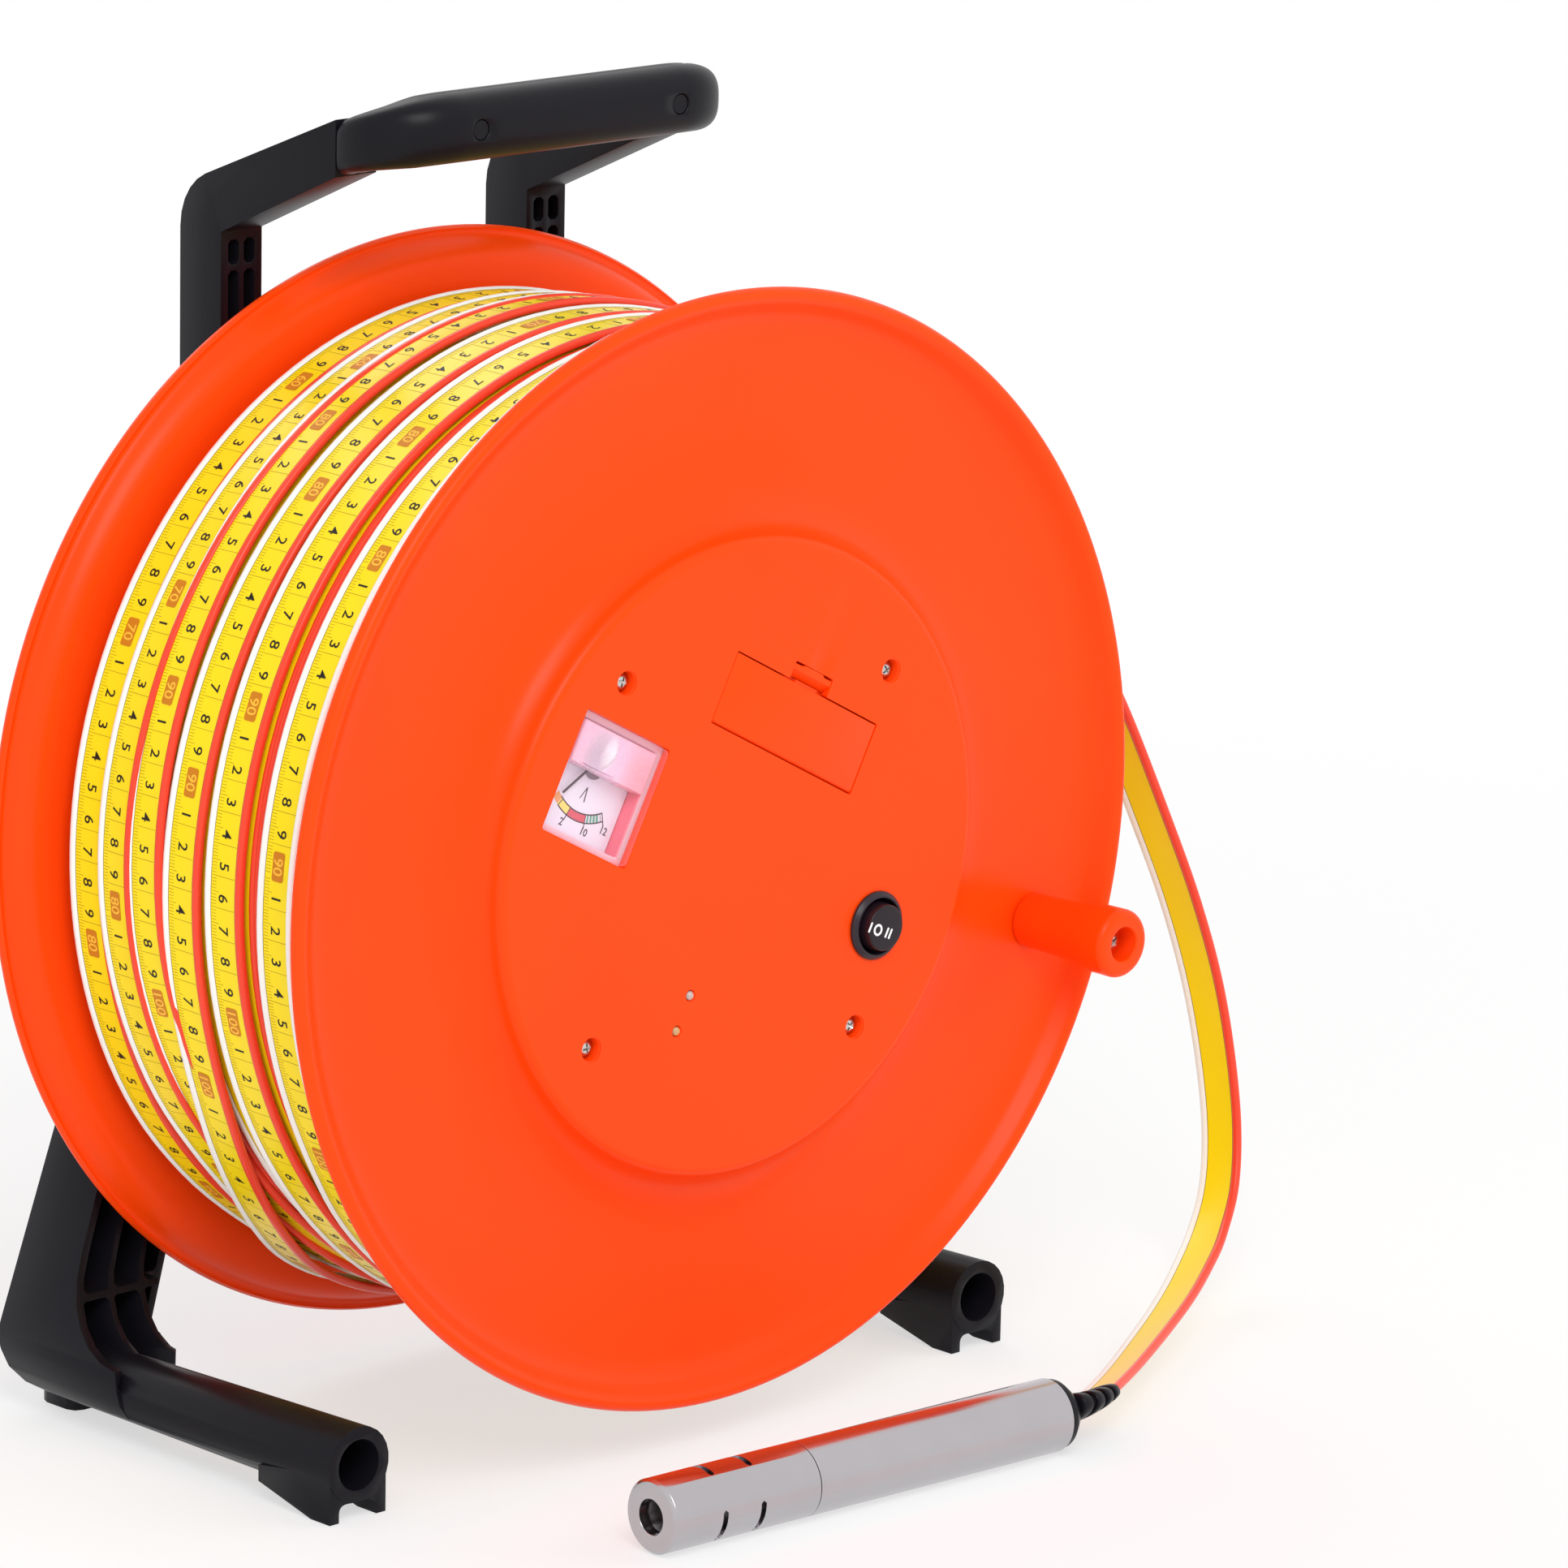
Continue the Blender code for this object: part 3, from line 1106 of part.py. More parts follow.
def frame():
    past = 6 * MM
    body = plate("frame", [frame_outline()], -FRAME_REAR - past, -ARM_END + past, BLACK, stand_front)
    join(body, box("bridge", (-past, -BRIDGE_HALF, -FRAME_REAR - past), (POST_IN + 1 * MM, BRIDGE_HALF, -BRIDGE_FRONT),
                   None, stand_front))
    side = plate("frame_side_view", [side_outline()], -2 * past, FOOT_X + 30 * MM, None, stand_side)
    combine(body, side, 'INTERSECT')
    floor_of_cells = -FRAME_REAR + FRAME_WALL
    cut(body, plate("leg_cells", leg_cells(), floor_of_cells, -ARM_END, None, stand_front))
    cut(body, plate("bridge_cells", bridge_cells(), floor_of_cells, -ARM_END, None, stand_front))
    cut(body, foot_relief())
    foot(body)
    mirror = body.modifiers.new("both_sides", 'MIRROR')
    mirror.use_bisect_axis = (True, False, False)
    mirror.merge_threshold = 0.00001
    join(body, rod("axle_boss", BOSS_R, -FRAME_REAR + 0.5 * MM, -BOSS_FRONT, None, stand_front, steps=STEPS_MIDDLE))
    cut(body, rod("axle_bore", SHAFT_R + GAP, -FRAME_REAR - past, -BOSS_FRONT + past, None, stand_front,
                  steps=STEPS_MIDDLE))
    cut(body, rod("axle_nut_pocket", NUT_POCKET_R, -FRAME_REAR - past, -FRAME_REAR + NUT_POCKET, None, stand_front,
                  steps=STEPS_MIDDLE))
    core = loft("grip_core", [[place + outward * o + up * u for o, u in oval(GRIP_CORE_R, GRIP_CORE_R, 2, 0, 330, 11)]
                              for place, outward, up, share in core_path()], None, stand)
    join(body, core)
    for k, x in enumerate((-GRIP_SCREW_X, GRIP_SCREW_X)):
        cut(body, along_y(f"core_screw_hole_{k}", GRIP_SCREW_R + GAP, 0, GRIP_Y + 12 * MM, (x, grip_height())))
    return body


def bridge_cells():
    """Pockets of the cross member, two columns and two rows beside the boss."""
    near = BOSS_R - 2 * MM
    pitch_x = (POST_IN + FRAME_WALL - near) / 2
    pitch_z = (BRIDGE_HALF - FRAME_WALL + FRAME_RIB / 2)
    half = ((pitch_x - FRAME_RIB) / 2, (pitch_z - FRAME_RIB) / 2)
    return [rounded(rectangle(*half, (near + pitch_x * (j + 0.5), side * pitch_z / 2)), 1.2 * MM, 1)
            for j in range(2) for side in (-1, 1)]


def foot_relief():
    """Space in front of the leg's inner half, hollowed in plan so that the leg sweeps round into the foot."""
    inner = inner_edge(SOLE_UP + 10 * MM - AXLE_HEIGHT)
    reach = FOOT_X - FOOT_REAR_R + 1 * MM - inner
    curve = [(inner + reach * (k / 6) ** 2, LEG_FRONT + 4 * MM - FLARE_DEPTH * (k / 6) ** 0.8) for k in range(7)]
    past = 12 * MM
    outline = [(inner - past, curve[0][1])] + curve + [(curve[-1][0], curve[-1][1] - past),
                                                       (inner - past, curve[-1][1] - past)]
    return plate("foot_relief", [outline], -AXLE_HEIGHT - past, FLARE_HEIGHT - AXLE_HEIGHT, None, stand)


def foot(body):
    """Tapered tube open at the front, the saddle under its mouth, and the heel under the leg."""
    floor = -AXLE_HEIGHT
    sole = SOLE_UP - AXLE_HEIGHT
    rise = FOOT_AXIS_UP - AXLE_HEIGHT
    rear_rise = sole + FOOT_REAR_R + 0.4 * MM
    ends = ((FOOT_R, FOOT_FRONT, rise), (FOOT_REAR_R, FOOT_REAR, rear_rise))
    around = [2 * pi * (k + 0.5) / 24 for k in range(24)]
    join(body, loft("foot_tube", [[Vector((FOOT_X + r * cos(a), y, z + r * sin(a))) for a in around]
                                  for r, y, z in ends], None, stand))
    front = FOOT_FRONT + GAP
    flat_end = front + SADDLE_FLAT
    rear = front + SADDLE_LENGTH
    join(body, plate("saddle", [[(front, floor), (flat_end, floor), (rear, sole + 1 * MM), (rear, rise - 6 * MM),
                                 (front, rise - 1 * MM)]],
                     FOOT_X - SADDLE_HALF, FOOT_X + SADDLE_HALF, None, stand_side))
    heel_at = (inner_edge(sole) + HEEL[0] / 2, FRAME_REAR - HEEL_IN - HEEL[1] / 2)
    join(body, plate("heel", [rounded(rectangle(HEEL[0] / 2, HEEL[1] / 2, heel_at), 4 * MM)], floor, sole + 6 * MM,
                     None, stand))
    half = SADDLE_HALF - SADDLE_WALL
    arch = rounded(rectangle(half, ARCH_HEIGHT, (FOOT_X, floor)), 2.4 * MM, 3)
    cut(body, plate("saddle_groove", [arch], -rear - 1 * MM, -front + 1 * MM, None, stand_front))
    cut(body, rod("foot_bore", FOOT_BORE_R, -FOOT_FRONT - FOOT_BORE, -FOOT_FRONT + 1 * MM, None, stand_front,
                  (FOOT_X, rise), 24))


def core_path():
    """The bar inside the grip: from inside one arm to inside the other."""
    path = full_grip_path()
    reach = 9 * MM
    ends = []
    for place, outward, up, share in (path[0], path[-1]):
        ends.append((place + Vector((0, reach, -reach * GRIP_SLOPE)), outward, up, share))
    return [ends[0]] + path + [ends[1]]


# Probe

probe_axis = empty("probe_axis", (PROBE_TIP[0], PROBE_TIP[1], PROBE_R), (0, pi / 2, PROBE_TURN))


def probe_pieces():
    bore = PROBE_R - PROBE_WALL
    plug = bore - GAP
    seam_front, seam_rear = PROBE_SEAM - GAP / 2, PROBE_SEAM + GAP / 2
    nose = turned("probe_nose", [
        (bore, seam_front), (PROBE_R, seam_front), (PROBE_R, PROBE_CHAMFER), (PROBE_R - PROBE_CHAMFER, 0),
        (PROBE_MOUTH_R, 0), (PROBE_MOUTH_R, PROBE_LIP), (bore, PROBE_LIP)], STEEL, probe_axis, STEPS_MIDDLE)
    for k, place in enumerate(SLOT_AT):
        for turn in range(SLOTS_ROUND):
            slot = box(f"probe_slot_{k}_{turn}", (-SLOT_REACH * PROBE_R, 0.5 * PROBE_R, place - SLOT_WIDTH / 2),
                       (SLOT_REACH * PROBE_R, 1.2 * PROBE_R, place + SLOT_WIDTH / 2), None, probe_axis)
            slot.rotation_euler = (0, 0, SLOT_TILT + turn * 2 * pi / SLOTS_ROUND)
            cut(nose, slot)
    plug_front = PROBE_SEAM - BODY_PLUG
    stub = INSULATOR_STUB_R + GAP
    turned("probe_body", [
        (bore, PROBE_END), (PROBE_R, PROBE_END), (PROBE_R, seam_rear), (plug, seam_rear), (plug, plug_front),
        (stub, plug_front), (stub, PROBE_SEAM + PROBE_WALL), (bore, PROBE_SEAM + PROBE_WALL)],
        STEEL, probe_axis, STEPS_MIDDLE)
    back = plug_front - GAP
    pin_bore = ELECTRODE_R + GAP
    turned("probe_insulator", [
        (0, PROBE_SEAM), (INSULATOR_STUB_R, PROBE_SEAM), (INSULATOR_STUB_R, back), (plug, back),
        (plug, back - INSULATOR_FLANGE), (INSULATOR_R, back - INSULATOR_FLANGE - 1.5 * MM),
        (INSULATOR_R, INSULATOR_FRONT), (pin_bore, INSULATOR_FRONT), (pin_bore, back), (0, back)],
        NYLON, probe_axis, 24)
    turned("probe_electrode", [
        (0, back - GAP), (ELECTRODE_R, back - GAP), (ELECTRODE_R, ELECTRODE_FRONT + 1 * MM), (0, ELECTRODE_FRONT)],
        STEEL, probe_axis, 12)
    foot_of_cap = PROBE_END + GAP
    tip = foot_of_cap + CAP_LENGTH
    cap = turned("probe_cap", [
        (0, tip), (CAP_SMALL_R, tip), (PROBE_R - 0.4 * MM, foot_of_cap + 1.4 * MM), (PROBE_R - 0.4 * MM, foot_of_cap),
        (plug, foot_of_cap), (plug, foot_of_cap - CAP_SPIGOT), (0, foot_of_cap - CAP_SPIGOT)],
        BLACK, probe_axis, STEPS_MIDDLE)
    return cap, tip


def tape_frames():
    """Stations of the free tape: place, direction, width direction and the direction of its inner face."""
    start_r = WINDING_R + GAP + TAPE_THICK / 2
    leave = radians(TAPE_LEAVES)
    y = -TURN_CENTRES[-1] * MM
    route = []
    for run in (0, 36 * MM):
        route.append((start_r * cos(leave) + run * sin(leave), y,
                      AXLE_HEIGHT + start_r * sin(leave) - run * cos(leave), 0.0))
    route += [(px * MM, py * MM, pz * MM, roll) for px, py, pz, roll in TAPE_ROUTE]
    path = smooth_route(route, TAPE_STATIONS)
    frames = []
    for k, row in enumerate(path):
        before, after = path[max(k - 1, 0)], path[min(k + 1, len(path) - 1)]
        ahead = (Vector(after[:3]) - Vector(before[:3])).normalized()
        level = (Vector((0, 1, 0)) - ahead * ahead.y).normalized()
        roll = radians(row[3])
        width = level * cos(roll) + level.cross(ahead) * sin(roll)
        frames.append((Vector(row[:3]), ahead, width, width.cross(ahead)))
    return frames


def tape_section(half_width, half_thick, band):
    """Outline of the tape across its run, as (width, thickness) pairs: two wires with the band between."""
    quarter = [(half_width, half_thick - TAPE_SOFT), (half_width - TAPE_SOFT, half_thick),
               (half_width - TAPE_EDGE, band)]
    upper = quarter + [(-u, v) for u, v in reversed(quarter)]
    return upper + [(u, -v) for u, v in reversed(upper)]


def free_tape():
    section = tape_section(TAPE_WIDTH / 2, TAPE_THICK / 2, TAPE_BAND / 2)
    rings = [[place + width * u + inner * v for u, v in section] for place, ahead, width, inner in tape_frames()]
    return smooth(loft("free_tape", rings, TAPE_YELLOW, None), 40)


def strain_relief(cap, cap_tip):
    """Ribbed sleeve from the cap to the tape. Its rings follow the tape's last stretch."""
    place, ahead, width, inner = tape_frames()[-1]
    base = probe_axis_point(cap_tip)
    axis = probe_direction()
    rings = []

    def ring(centre, across, up, half, power=3, steps=14):
        return [centre + across * (half[0] * o) + up * (half[1] * u)
                for o, u in oval(1, 1, power, 0, 360 - 360 / steps, steps - 1)]

    def station(share):
        """Place and axes from the cap (share 0) to the mouth by the tape (share 1)."""
        mouth = place - ahead * RELIEF_MOUTH
        handle = (mouth - base).length / 3
        p0, p1, p2, p3 = base, base + axis * handle, mouth + ahead * handle, mouth
        t = share
        centre = (p0 * (1 - t) ** 3 + p1 * (3 * t * (1 - t) ** 2) + p2 * (3 * t * t * (1 - t)) + p3 * t ** 3)
        along = axis.lerp(-ahead, t).normalized()
        across = (width - along * width.dot(along)).normalized()
        return centre, across, along.cross(across).normalized()

    neck_in = 6 * MM
    centre, across, up = station(0.0)
    neck = (RELIEF_NECK_R, RELIEF_NECK_R)
    rings.append(ring(centre - axis * neck_in, across, up, neck, 2))
    rings.append(ring(centre + axis * GAP, across, up, neck, 2))
    for k in range(RELIEF_RIBS):
        for place_in, deep in ((0.0, False), (0.04, False), (0.6, False), (0.68, True), (0.96, True)):
            share = (k + place_in) / RELIEF_RIBS * 0.96 + 0.04
            half = [a + (b - a) * share for a, b in zip(RELIEF_WIDE, RELIEF_SMALL)]
            drop = RELIEF_GROOVE if deep else 0.0
            centre, across, up = station(share)
            rings.append(ring(centre, across, up, (half[0] - drop, half[1] - drop)))
    body = loft("tape_strain_relief", rings, BLACK, None)
    section = tape_section(TAPE_WIDTH / 2 + GAP, TAPE_THICK / 2 + GAP, TAPE_THICK / 2 + GAP)
    slot = [[spot + width * u + inner * v for u, v in section]
            for spot in (place - ahead * 12 * MM, place + ahead * RELIEF_HOLD)]
    cut(body, loft("relief_slot", slot))
    socket = rod("cap_socket", RELIEF_NECK_R + GAP, cap_tip - neck_in - GAP, cap_tip + 1 * MM, None, probe_axis, steps=24)
    cut(cap, socket)
    return body


def probe_direction():
    return Vector((cos(PROBE_TURN), sin(PROBE_TURN), 0))


def probe_axis_point(run):
    return Vector((PROBE_TIP[0], PROBE_TIP[1], PROBE_R)) + probe_direction() * run


frame()
grip_pieces()
axle_pieces()
front_flange()
rear_flange()
core_barrel()
screw_group("panel_screw", PANEL_FRONT - SCREW_WELL + GAP, DISC_FRONT - FLANGE_WALL - SCREW_REACH + 2 * MM, 1)
screw_group("rear_screw", -DISC_FRONT - GAP, -DISC_FRONT + FLANGE_WALL + SCREW_REACH - 2 * MM, -1, recess=False)
tape_winding()
knob_pieces()
battery_pieces()
battery_door()
meter_pieces()
switch_pieces()
board_pieces()
strain_relief(*probe_pieces())
free_tape()
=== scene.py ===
# Water level meter: a hand-wound reel of marked flat tape with a steel probe, on a moulded stand.
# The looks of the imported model. Metres, +Z up, front towards -Y. Angles round the drum are measured
# from the top towards -X, and "front" is the distance from the drum's middle plane towards -Y.

from math import atan2, cos, degrees, floor, pi, radians, sin, sqrt, tan

import bmesh
import bpy
from mathutils import Matrix, Vector


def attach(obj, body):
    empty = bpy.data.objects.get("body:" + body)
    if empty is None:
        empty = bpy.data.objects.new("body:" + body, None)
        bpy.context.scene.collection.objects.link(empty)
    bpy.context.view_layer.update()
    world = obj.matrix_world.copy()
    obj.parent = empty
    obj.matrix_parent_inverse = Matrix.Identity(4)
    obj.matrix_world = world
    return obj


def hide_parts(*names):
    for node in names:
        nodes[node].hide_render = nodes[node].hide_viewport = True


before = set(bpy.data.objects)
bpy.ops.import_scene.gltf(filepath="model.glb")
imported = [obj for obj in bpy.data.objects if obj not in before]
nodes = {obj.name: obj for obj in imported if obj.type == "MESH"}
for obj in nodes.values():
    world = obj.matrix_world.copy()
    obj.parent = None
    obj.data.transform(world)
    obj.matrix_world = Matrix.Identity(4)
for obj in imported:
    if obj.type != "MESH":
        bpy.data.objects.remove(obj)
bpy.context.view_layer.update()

MM = 0.001

# Drum
AXLE_HEIGHT = 194.5 * MM
DISC_FRONT = 65 * MM
FLANGE_WALL = 3 * MM
PANEL_R = 101.4 * MM
PANEL_FRONT = 79 * MM
PANEL_TURN = radians(-28)
PANEL_PITCH = 67 * MM
SCREW_PITCH_R = 81.8 * MM
SCREW_TURN = radians(38.7)
WINDING_R = 163.5 * MM
CORE_R = 105 * MM
GAP = 0.3 * MM

# Tape
TAPE_WIDTH = 17 * MM
TAPE_THICK = 2.8 * MM
TAPE_EDGE = 2.9 * MM
TAPE_BAND = 1.4 * MM
TAPE_LEAVES = 42.0

# The free tape's route in millimetres, as in the source: x, y, z and roll in degrees
TAPE_ROUTE = (
    (164.0, -46.0, 256.5, 4),
    (183.5, -46.0, 231.5, 7),
    (199.5, -46.0, 207.0, 9),
    (220.5, -46.2, 168.0, 10),
    (235.8, -46.8, 137.0, 9),
    (246.8, -47.8, 108.0, 8),
    (252.6, -49.8, 81.0, 5),
    (253.0, -53.8, 56.0, 1),
    (246.8, -59.4, 36.5, -4),
    (233.7, -66.5, 23.5, -10),
    (215.0, -77.0, 16.6, -15),
    (193.5, -89.0, 12.3, -19),
    (167.0, -103.6, 9.8, -23),
    (135.0, -121.8, 9.0, -27),
    (104.0, -139.5, 10.4, -28),
)

# Probe
PROBE_R = 12 * MM
PROBE_TIP = Vector((-91 * MM, -138 * MM, PROBE_R))
PROBE_TURN = radians(-2.9)

drum_place = Matrix.Translation((0, 0, AXLE_HEIGHT)) @ Matrix.Rotation(pi / 2, 4, 'X')
panel_place = drum_place @ Matrix.Rotation(PANEL_TURN, 4, 'Z')
probe_turn = Matrix.Rotation(PROBE_TURN, 4, 'Z') @ Matrix.Rotation(pi / 2, 4, 'Y')
probe_place = Matrix.Translation(PROBE_TIP) @ probe_turn


# Camera, at the photograph's viewing angle

def photo_camera():
    yaw, pitch, roll = radians(-44.29), radians(13.61), radians(1.18)
    ahead = Vector((-sin(yaw) * cos(pitch), cos(yaw) * cos(pitch), -sin(pitch)))
    level = Vector((cos(yaw), sin(yaw), 0))
    upward = level.cross(ahead)
    right = cos(roll) * level + sin(roll) * upward
    up = -sin(roll) * level + cos(roll) * upward
    data = bpy.data.cameras.new("photo_view")
    data.sensor_width = 36
    data.lens = 194.18
    data.clip_end = 20
    camera = bpy.data.objects.new("photo_view", data)
    place = Matrix((right, up, -ahead)).transposed().to_4x4()
    place.translation = (-1.7903, -1.9319, 0.8426)
    camera.matrix_world = place
    bpy.context.scene.collection.objects.link(camera)
    bpy.context.scene.camera = camera


photo_camera()


# Shader helpers

def put(tree, kind, links=None, **values):
    """Add a node, set its inputs by name (spaces written as _), and link the given sockets into it."""
    item = tree.nodes.new(kind)
    for name, value in values.items():
        key = name.replace("_", " ")
        if hasattr(item, name) and key not in item.inputs:
            setattr(item, name, value)
        else:
            item.inputs[key].default_value = value
    for name, socket in (links or {}).items():
        key = name if isinstance(name, int) else name.replace("_", " ")
        tree.links.new(socket, item.inputs[key])
    return item


def ramp(tree, factor, stops):
    item = put(tree, "ShaderNodeValToRGB", {"Fac": factor})
    band = item.color_ramp
    while len(band.elements) < len(stops):
        band.elements.new(0.5)
    for element, (position, colour) in zip(band.elements, stops):
        element.position = position
        element.color = (*colour, 1.0) if len(colour) == 3 else colour
    return item.outputs["Color"]


def math(tree, operation, a, b=None, clamp=False):
    item = tree.nodes.new("ShaderNodeMath")
    item.operation = operation
    item.use_clamp = clamp
    for socket, value in zip(item.inputs, (a, b)):
        if value is None:
            continue
        if isinstance(value, (int, float)):
            socket.default_value = value
        else:
            tree.links.new(value, socket)
    return item.outputs[0]


def mix(tree, factor, a, b, blend='MIX'):
    item = tree.nodes.new("ShaderNodeMix")
    item.data_type = 'RGBA'
    item.blend_type = blend
    for key, value in ((0, factor), (6, a), (7, b)):
        socket = item.inputs[key]
        if isinstance(value, (int, float)):
            socket.default_value = value
        elif isinstance(value, tuple):
            socket.default_value = (*value, 1.0)
        else:
            tree.links.new(value, socket)
    return item.outputs[2]


def new_group(name, inputs, outputs):
    tree = bpy.data.node_groups.new(name, "ShaderNodeTree")
    for label, kind, default in inputs:
        socket = tree.interface.new_socket(label, in_out='INPUT', socket_type=kind)
        if default is not None:
            socket.default_value = default
    for label, kind in outputs:
        tree.interface.new_socket(label, in_out='OUTPUT', socket_type=kind)
    entry = tree.nodes.new("NodeGroupInput")
    leave = tree.nodes.new("NodeGroupOutput")
    return tree, entry.outputs, leave.inputs


def moulded_plastic_group():
    """Spark-eroded mould texture, slow flow marks and fine handling scratches."""
    tree, into, out = new_group(
        "moulded_plastic",
        [("Vector", 'NodeSocketVector', None), ("Grain Scale", 'NodeSocketFloat', 1400.0),
         ("Flow Scale", 'NodeSocketFloat', 9.0), ("Scratch Scale", 'NodeSocketFloat', 60.0)],
        [("Height", 'NodeSocketFloat'), ("Tone", 'NodeSocketFloat'), ("Scuff", 'NodeSocketFloat')])
    grain = put(tree, "ShaderNodeTexNoise", {"Vector": into["Vector"], "Scale": into["Grain Scale"]},
                Detail=2.0)
    flow = put(tree, "ShaderNodeTexNoise", {"Vector": into["Vector"], "Scale": into["Flow Scale"]},
               Detail=3.0, Distortion=0.6)
    stretched = put(tree, "ShaderNodeMapping", {"Vector": into["Vector"]}, Rotation=(0.4, 0.9, 0.3),
                    Scale=(1.0, 14.0, 1.0))
    marks = put(tree, "ShaderNodeTexNoise", {"Vector": stretched.outputs[0], "Scale": into["Scratch Scale"]},
                Detail=4.0)
    patches = put(tree, "ShaderNodeTexNoise", {"Vector": into["Vector"]}, Scale=22.0, Detail=2.0)
    thin = math(tree, 'GREATER_THAN', marks.outputs[0], 0.67)
    where = math(tree, 'GREATER_THAN', patches.outputs[0], 0.55)
    tree.links.new(grain.outputs[0], out["Height"])
    tree.links.new(flow.outputs[0], out["Tone"])
    tree.links.new(math(tree, 'MULTIPLY', thin, where), out["Scuff"])
    return tree


def turned_metal_group():
    """Fine lathe lines across Vector's Z, with slow unevenness."""
    tree, into, out = new_group(
        "turned_metal",
        [("Vector", 'NodeSocketVector', None), ("Line Scale", 'NodeSocketFloat', 2600.0)],
        [("Height", 'NodeSocketFloat'), ("Tone", 'NodeSocketFloat')])
    lines = put(tree, "ShaderNodeMapping", {"Vector": into["Vector"]}, Scale=(0.02, 0.02, 1.0))
    fine = put(tree, "ShaderNodeTexNoise", {"Vector": lines.outputs[0], "Scale": into["Line Scale"]},
               Detail=3.0)
    slow = put(tree, "ShaderNodeTexNoise", {"Vector": into["Vector"]}, Scale=45.0, Detail=3.0)
    tree.links.new(fine.outputs[0], out["Height"])
    tree.links.new(slow.outputs[0], out["Tone"])
    return tree


moulded = moulded_plastic_group()
lathe = turned_metal_group()


def start_material(name):
    mat = bpy.data.materials.new(name)
    mat.use_nodes = True
    tree = mat.node_tree
    shader = tree.nodes["Principled BSDF"]
    place = tree.nodes.new("ShaderNodeTexCoord")
    return mat, tree, shader, place.outputs["Object"]


def set_plain(shader, **values):
    for name, value in values.items():
        shader.inputs[name.replace("_", " ")].default_value = value


def plastic(name, dark, light, rough, grain=0.05, grain_scale=1400.0, scuff=0.08, coat=0.0, shine=0.5):
    """Moulded plastic between two close tones."""
    mat, tree, shader, vector = start_material(name)
    surface = put(tree, "ShaderNodeGroup", node_tree=moulded)
    tree.links.new(vector, surface.inputs["Vector"])
    surface.inputs["Grain Scale"].default_value = grain_scale
    tree.links.new(mix(tree, surface.outputs["Tone"], dark, light), shader.inputs["Base Color"])
    worn = math(tree, 'MULTIPLY', surface.outputs["Scuff"], scuff)
    base = math(tree, 'MULTIPLY_ADD', surface.outputs["Tone"], 0.08)
    base.node.inputs[2].default_value = rough - 0.04
    tree.links.new(math(tree, 'ADD', base, worn, True), shader.inputs["Roughness"])
    bump = put(tree, "ShaderNodeBump", {"Height": surface.outputs["Height"]}, Strength=grain, Distance=0.0002)
    tree.links.new(bump.outputs[0], shader.inputs["Normal"])
    set_plain(shader, Coat_Weight=coat, Coat_Roughness=0.15, Specular_IOR_Level=shine)
    return mat


def metal(name, colour, rough, line_scale=2600.0, depth=0.05, vector_turn=None):
    """Turned or drawn metal. vector_turn brings the piece's own axis to Z."""
    mat, tree, shader, vector = start_material(name)
    if vector_turn is not None:
        vector = put(tree, "ShaderNodeMapping", {"Vector": vector}, Rotation=vector_turn).outputs[0]
    surface = put(tree, "ShaderNodeGroup", node_tree=lathe)
    tree.links.new(vector, surface.inputs["Vector"])
    surface.inputs["Line Scale"].default_value = line_scale
    darker = tuple(0.9 * c for c in colour)
    tree.links.new(mix(tree, surface.outputs["Tone"], darker, colour), shader.inputs["Base Color"])
    base = math(tree, 'MULTIPLY_ADD', surface.outputs["Tone"], 0.1)
    base.node.inputs[2].default_value = rough - 0.05
    tree.links.new(base, shader.inputs["Roughness"])
    bump = put(tree, "ShaderNodeBump", {"Height": surface.outputs["Height"]}, Strength=depth,
               Distance=0.05 * MM)
    tree.links.new(bump.outputs[0], shader.inputs["Normal"])
    set_plain(shader, Metallic=1.0)
    return mat


orange_plastic = plastic("orange_plastic", (1.0, 0.058, 0.001), (1.0, 0.072, 0.003), 0.32, 0.04, shine=0.15)
black_plastic = plastic("black_plastic", (0.005, 0.005, 0.007), (0.009, 0.008, 0.012), 0.36, 0.10, 1100.0,
                        0.14, shine=0.15)
probe_steel = metal("probe_steel", (0.52, 0.50, 0.52), 0.20, 2600.0, 0.06, (0, -pi / 2, -PROBE_TURN))
zinc_steel = metal("zinc_steel", (0.66, 0.65, 0.63), 0.30, 900.0, 0.10, (-pi / 2, 0, 0))
tape_band = plastic("tape_yellow", (1.0, 0.72, 0.003), (1.0, 0.78, 0.008), 0.30, 0.03, 700.0, 0.05, shine=0.2)
tape_white = plastic("tape_white_edge", (0.90, 0.88, 0.84), (0.96, 0.95, 0.92), 0.34, 0.03)
tape_red = plastic("tape_red_edge", (0.84, 0.050, 0.020), (0.92, 0.065, 0.026), 0.30, 0.03, shine=0.35)
# Painted shade: the strip where each edge bead meets the band is darkened as the shadow in that groove.
tape_groove_shade = plastic("tape_groove_shade", (0.20, 0.13, 0.02), (0.30, 0.20, 0.03), 0.5, 0.03)
print_black = plastic("print_black", (0.010, 0.008, 0.004), (0.020, 0.015, 0.007), 0.42, 0.02, shine=0.2)
print_line = plastic("print_line", (0.30, 0.18, 0.006), (0.38, 0.24, 0.010), 0.42, 0.02, shine=0.2)
print_orange = plastic("print_orange", (0.60, 0.20, 0.006), (0.68, 0.23, 0.008), 0.42, 0.02, shine=0.2)
print_light = plastic("print_light", (1.0, 0.52, 0.04), (1.0, 0.58, 0.06), 0.42, 0.02, shine=0.2)
print_white = plastic("print_white", (0.90, 0.90, 0.90), (0.95, 0.95, 0.95), 0.4, 0.02)
nylon = plastic("nylon", (0.80, 0.78, 0.72), (0.86, 0.84, 0.79), 0.45)
board_green = plastic("board_green", (0.015, 0.16, 0.05), (0.03, 0.22, 0.07), 0.4)
battery_grey = plastic("battery_grey", (0.16, 0.17, 0.19), (0.20, 0.21, 0.23), 0.35)
